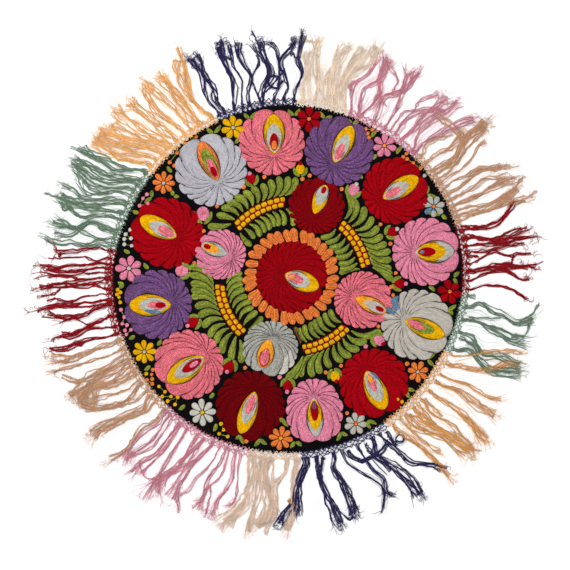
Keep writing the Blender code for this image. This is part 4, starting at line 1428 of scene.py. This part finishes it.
def embroidery():
    """Make one piece for each kind and silk of the pattern, and the beds of the roses."""
    lines = pattern()
    tree = raised_stitching_tree()
    finishes = {}
    for name, (colour, _) in SILKS.items():
        # How strongly this silk's streaks and specks, partly painted shade and sheen of its threads, mark it.
        grain_and_thread_shade = float(np.interp(np.dot(colour, LIGHTNESS), *GRAIN_AND_THREAD_SHADE))
        dull = name == "yellow" or max(colour[1:]) < DULL_BELOW
        finishes[name] = silk(f"{name}_floss", colour, grain_and_thread_shade, DULL_SHINE if dull else SILK_SHINE)
    pieces = []
    for silk_name in sorted({spec.silk for spec in ROSES}):
        piece = rose_beds(silk_name, finishes[silk_name])
        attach(piece, BODY)
        pieces.append(piece)
    for (kind, silk_name), shapes in sorted(lines.items()):
        piece = grow(guide(f"{kind}_{silk_name}", shapes), tree, finishes[silk_name],
                     Full_Half_Width=FULL_HALF_WIDTH * MM)
        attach(piece, BODY)
        pieces.append(piece)
    return pieces


def hair(points, height, thin, chance):
    """One fine hair along points."""
    return Line(raised(points, height), np.linspace(thin, thin * 0.6, len(points)) * MM,
                tint=chance.uniform(0.85, 1.2))


def wisp(start, heading, thin, chance):
    """A curled hair that leaves a strand's end."""
    turn = math.atan2(heading[1], heading[0]) + chance.gauss(0, WISP_TURN)
    curl = chance.gauss(0, WISP_CURL)
    step = WISP_LENGTH * chance.uniform(0.4, 1.1) / WISP_STEPS
    points = [np.array(start)]
    for _ in range(WISP_STEPS):
        points.append(points[-1] + step * np.array((math.cos(turn), math.sin(turn))))
        turn += curl
        curl += chance.gauss(0, WISP_CURL_CHANGE)
    return hair(np.array(points), chance.uniform(0.5, 1.4), thin, chance)


def veil(one, other, chance):
    """One loose hair between two neighbouring strands, waving as it goes."""
    share = np.linspace(0, 1, len(one))
    lean = chance.uniform(0.1, 0.9)
    lean = (lean + 0.25 * np.sin(chance.uniform(3, 8) * share + chance.uniform(0, WHOLE_TURN)))[:, None]
    first, last = int(chance.uniform(0, 0.3) * len(one)), int(chance.uniform(0.7, 1) * len(one))
    path = on_plan(*(one * (1 - lean) + other * lean).T)[first:last]
    return hair(path, chance.uniform(0.4, 1.2), VEIL_HALF, chance)


def ply(middle, share, seat, width, apart, opening, floss, chance, tail):
    """The threads of one ply of a strand: they wander together, and each a little by itself."""
    aside = across(middle)
    phase, other = chance.uniform(0, WHOLE_TURN), chance.uniform(0, WHOLE_TURN)
    waves = chance.uniform(*PLY_WAVES) * share
    drift = DRIFT * width * np.sin(waves + phase) + FINE_DRIFT * width * np.sin(FINE_WAVES * waves + other)
    drift *= np.minimum(share / DRIFT_START, 1)
    short = abs(chance.gauss(0, floss.ragged)) if tail else 0
    splay = chance.gauss(0, floss.spread) * width
    crinkle = np.array([chance.gauss(0, floss.crinkle) for _ in share])
    parting = np.maximum(share - PARTING_START, 0) / (1 - PARTING_START)
    lines = []
    for _ in range(floss.threads):
        astray = chance.random() < ASTRAY
        kind = STRAY_THREAD if astray else LAID_THREAD
        loose = chance.gauss(0, kind.loose) * apart
        off = drift + kind.ripple * np.sin(chance.uniform(*RIPPLES) * share + chance.uniform(0, WHOLE_TURN))
        if tail:
            off = off + (splay + chance.gauss(0, floss.spread) * width) * parting
        off = off + (seat * width * PLY_SEAT + loose) * opening + crinkle
        off = off + np.array([chance.gauss(0, floss.crinkle / 3) for _ in share])
        height = FRINGE_LOWEST + FRINGE_PILE * chance.uniform(0, 1) * (1 - min(abs(seat), 1) * 0.6)
        height = height + FRINGE_SAG * np.sin(other + 6 * share)
        missing = short + abs(chance.gauss(0, 0.8 * floss.ragged)) * tail
        last = max(len(share) - int(round(missing * len(share))), LEAST_STATIONS)
        thin = floss.thread * (ASTRAY_THIN if astray else chance.uniform(0.8, 1.3))
        points = raised(middle + aside * off[:, None], np.maximum(height, thin + SINK))[:last]
        halves = thin * np.interp(share, (0, TAPER_START, 1), (1, 1, TAPERED))[:last] * MM
        lines.append(Line(points, halves, tint=chance.uniform(0.74, 1.18)))
    return lines


def lock(path, width, floss, chance, tail=True):
    """The threads of one strand, in plies that cross. A tail's ends part, with curled hairs about them."""
    width *= floss.full
    middle = on_plan(*path.T)
    share = lengths_along(middle)
    share /= share[-1]
    opening = 1.0
    if tail:
        root = max(ROOT_FAN / max(width, NARROWEST), floss.gather * 0.8)
        opening = np.interp(share, (0, 0.1, 0.25, 0.6, 1), (
            root, floss.gather, (floss.gather + 0.7) / 2, 1, floss.tip))
    plies = max(2, round(width / PLY_WIDTH))
    lines = []
    for k in range(plies):
        seat = (k + 0.5) / plies * 2 - 1 + chance.uniform(-PLY_SHIFT, PLY_SHIFT)
        lines += ply(middle, share, seat, width, width / plies, opening, floss, chance, tail)
    if tail:
        aside = across(middle)
        for _ in range(2 + round(width * floss.wisps)):
            at, on = chance.choice((-1, -2, -3, -4)), chance.random()
            start = middle[at] * on + middle[at - 1] * (1 - on)
            start = start + aside[at] * chance.gauss(0, WISP_SPREAD) * width
            lines.append(wisp(start, middle[-1] - middle[-3], floss.thread * WISP_THIN, chance))
    return lines


def edge_stitches(start, end, chance):
    """Short silk stitches over the wool's edge, which hold the net heading."""
    lines = []
    for turn in np.arange(start, end, EDGE_STITCH):
        rim = rim_radius(turn)
        radii = np.array((rim - EDGE_STITCH_REACH * chance.uniform(0.75, 1.2), rim - 1, rim + 2.5))
        angles = turn + EDGE_STITCH_LEAN * chance.uniform(-2, 2)
        lines.append(Line(raised(on_plan(angles, radii), EDGE_STITCH_HEIGHTS), EDGE_STITCH_HALF * MM,
                          tint=chance.uniform(0.85, 1.1)))
    return lines


def fringe_length(spec, end, trees, finish):
    """One length of fringe: its net heading and its strands, which stand for the part's solid."""
    chance = random.Random(int(spec.start * 10) + FRINGE_SEED)
    floss = FRINGE_SILKS[spec.silk]
    turns = np.arange(spec.start, end, NET_TURN)
    inner = np.array([rim_radius(turn) for turn in turns]) - NET_REACH
    net = guide(spec.node.replace("fringe", "net"), [Line(raised(on_plan(turns, inner), NET_HEIGHT), 0.0)])
    net = grow(net, trees["net"], finish, Pitch=NET_PITCH, Row=NET_ROW, Thread=NET_THREAD, Knot=NET_KNOT,
               Slack=NET_SLACK)
    lines, paths = edge_stitches(spec.start, end, chance), []
    for *angles, reach, width in spec.strands:
        stations = [(angles[0], ROOT_RADIUS)]
        stations += [(angle, radius) for angle, radius in zip(angles, STRAND_RADII)
                     if radius < reach - TIP_CLEARANCE]
        paths.append(smooth_path(stations + [(angles[-1], reach)], STATIONS))
        lines += lock(paths[-1], width, floss, chance)
    for one, other in zip(paths, paths[1:]):
        lines += [veil(one, other, chance) for _ in range(floss.veils)]
    for width, *points in spec.strays:
        path = smooth_path(points, STRAY_STATIONS)
        lines += lock(path, width, floss, chance, tail=points[-1][1] > TAIL_RADIUS)
    strands = guide(spec.node.replace("fringe", "strands"), lines)
    strands = grow(strands, trees["threads"], finish, Thickness=1.0)
    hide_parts(spec.node)
    for piece in (net, strands):
        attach(piece, BODY)
    return [net, strands]


def fringe():
    """All the lengths, round the rim."""
    trees = {"net": knotted_net_tree(), "threads": silk_threads_tree()}
    finishes = {name: silk(f"{name}_fringe_silk", floss.colour, FRINGE_GRAIN_AND_THREAD_SHADE)
                for name, floss in FRINGE_SILKS.items()}
    pieces = []
    for spec, following in zip(FRINGE, FRINGE[1:] + FRINGE[:1]):
        end = following.start + (360 if following.start < spec.start else 0)
        pieces += fringe_length(spec, end, trees, finishes[spec.silk])
    return pieces


def ground():
    """The black wool disc: its top a little uneven under the stitches, its edge overcast in small waves."""
    heights = (CLOTH_TOP,) * (GROUND_RINGS - len(EDGE_HEIGHTS)) + EDGE_HEIGHTS
    rings = [(1 - (1 - k / GROUND_RINGS) ** GROUND_CROWDING, height) for k, height in enumerate(heights, 1)]
    rings += UNDERSIDE
    points = [(0.0, 0.0, CLOTH_TOP * MM)]
    for share, height in rings:
        for k in range(GROUND_TURNS):
            angle = 360 * k / GROUND_TURNS
            wave = EDGE_WAVE * math.cos(math.radians(angle) * EDGE_WAVES) * share ** EDGE_WAVE_POWER
            x, y = on_plan(angle, share * (rim_radius(angle) + wave))
            rise = CLOTH_WAVE * (math.sin(x / 9) * math.cos(y / 11) + 0.5 * math.sin((x + y) / 5))
            points.append((x * MM, y * MM, (height + (rise if height > 1 else 0)) * MM))
    points.append((0.0, 0.0, UNDERSIDE_HEIGHT * MM))
    last, centre = 1 + (len(rings) - 1) * GROUND_TURNS, len(points) - 1
    faces = joined_rings(1, GROUND_TURNS, len(rings))
    for k in range(GROUND_TURNS):
        after = (k + 1) % GROUND_TURNS
        faces += [(0, 1 + k, 1 + after), (last + after, last + k, centre)]
    mesh = bpy.data.meshes.new("ground")
    mesh.from_pydata(points, [], faces)
    turn_outwards(mesh)
    mesh.shade_smooth()
    mesh.materials.append(wool("black_wool_cloth", WOOL_COLOUR))
    piece = add_object("ground", mesh)
    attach(piece, BODY)
    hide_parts("cloth")
    return piece


def stage():
    """A plain pale floor, soft light from all round, a broad lamp at one side, and the camera overhead."""
    mesh = bpy.data.meshes.new("floor")
    corners = [(x * FLOOR_SIZE, y * FLOOR_SIZE, 0.0) for x, y in ((-1, -1), (1, -1), (1, 1), (-1, 1))]
    mesh.from_pydata(corners, [], [(0, 1, 2, 3)])
    pale, tree, shader = new_finish("pale_floor")
    give(tree, shader, {"Base Color": FLOOR_COLOUR, "Roughness": 0.9})
    mesh.materials.append(pale)
    add_object("floor", mesh)
    world = bpy.data.worlds.new("soft_surroundings")
    world.use_nodes = True
    give(world.node_tree, world.node_tree.nodes["Background"], {"Color": WHITE, "Strength": 1.0})
    bpy.context.scene.world = world
    lamp = bpy.data.lights.new("broad_lamp", "AREA")
    lamp.shape, lamp.size, lamp.energy = "DISK", LAMP_SIZE, LAMP_POWER
    holder = add_object("broad_lamp", lamp)
    holder.location = LAMP_PLACE
    holder.rotation_euler = (-holder.location).to_track_quat("-Z", "Y").to_euler()
    camera = bpy.data.cameras.new("camera")
    camera.lens, camera.sensor_width = CAMERA_LENS, CAMERA_SENSOR
    holder = add_object("camera", camera)
    holder.location = CAMERA_PLACE
    bpy.context.scene.camera = holder
    bpy.context.scene.view_settings.view_transform = "Standard"


cloth = ground()
worked = embroidery()
edging = fringe()
stage()
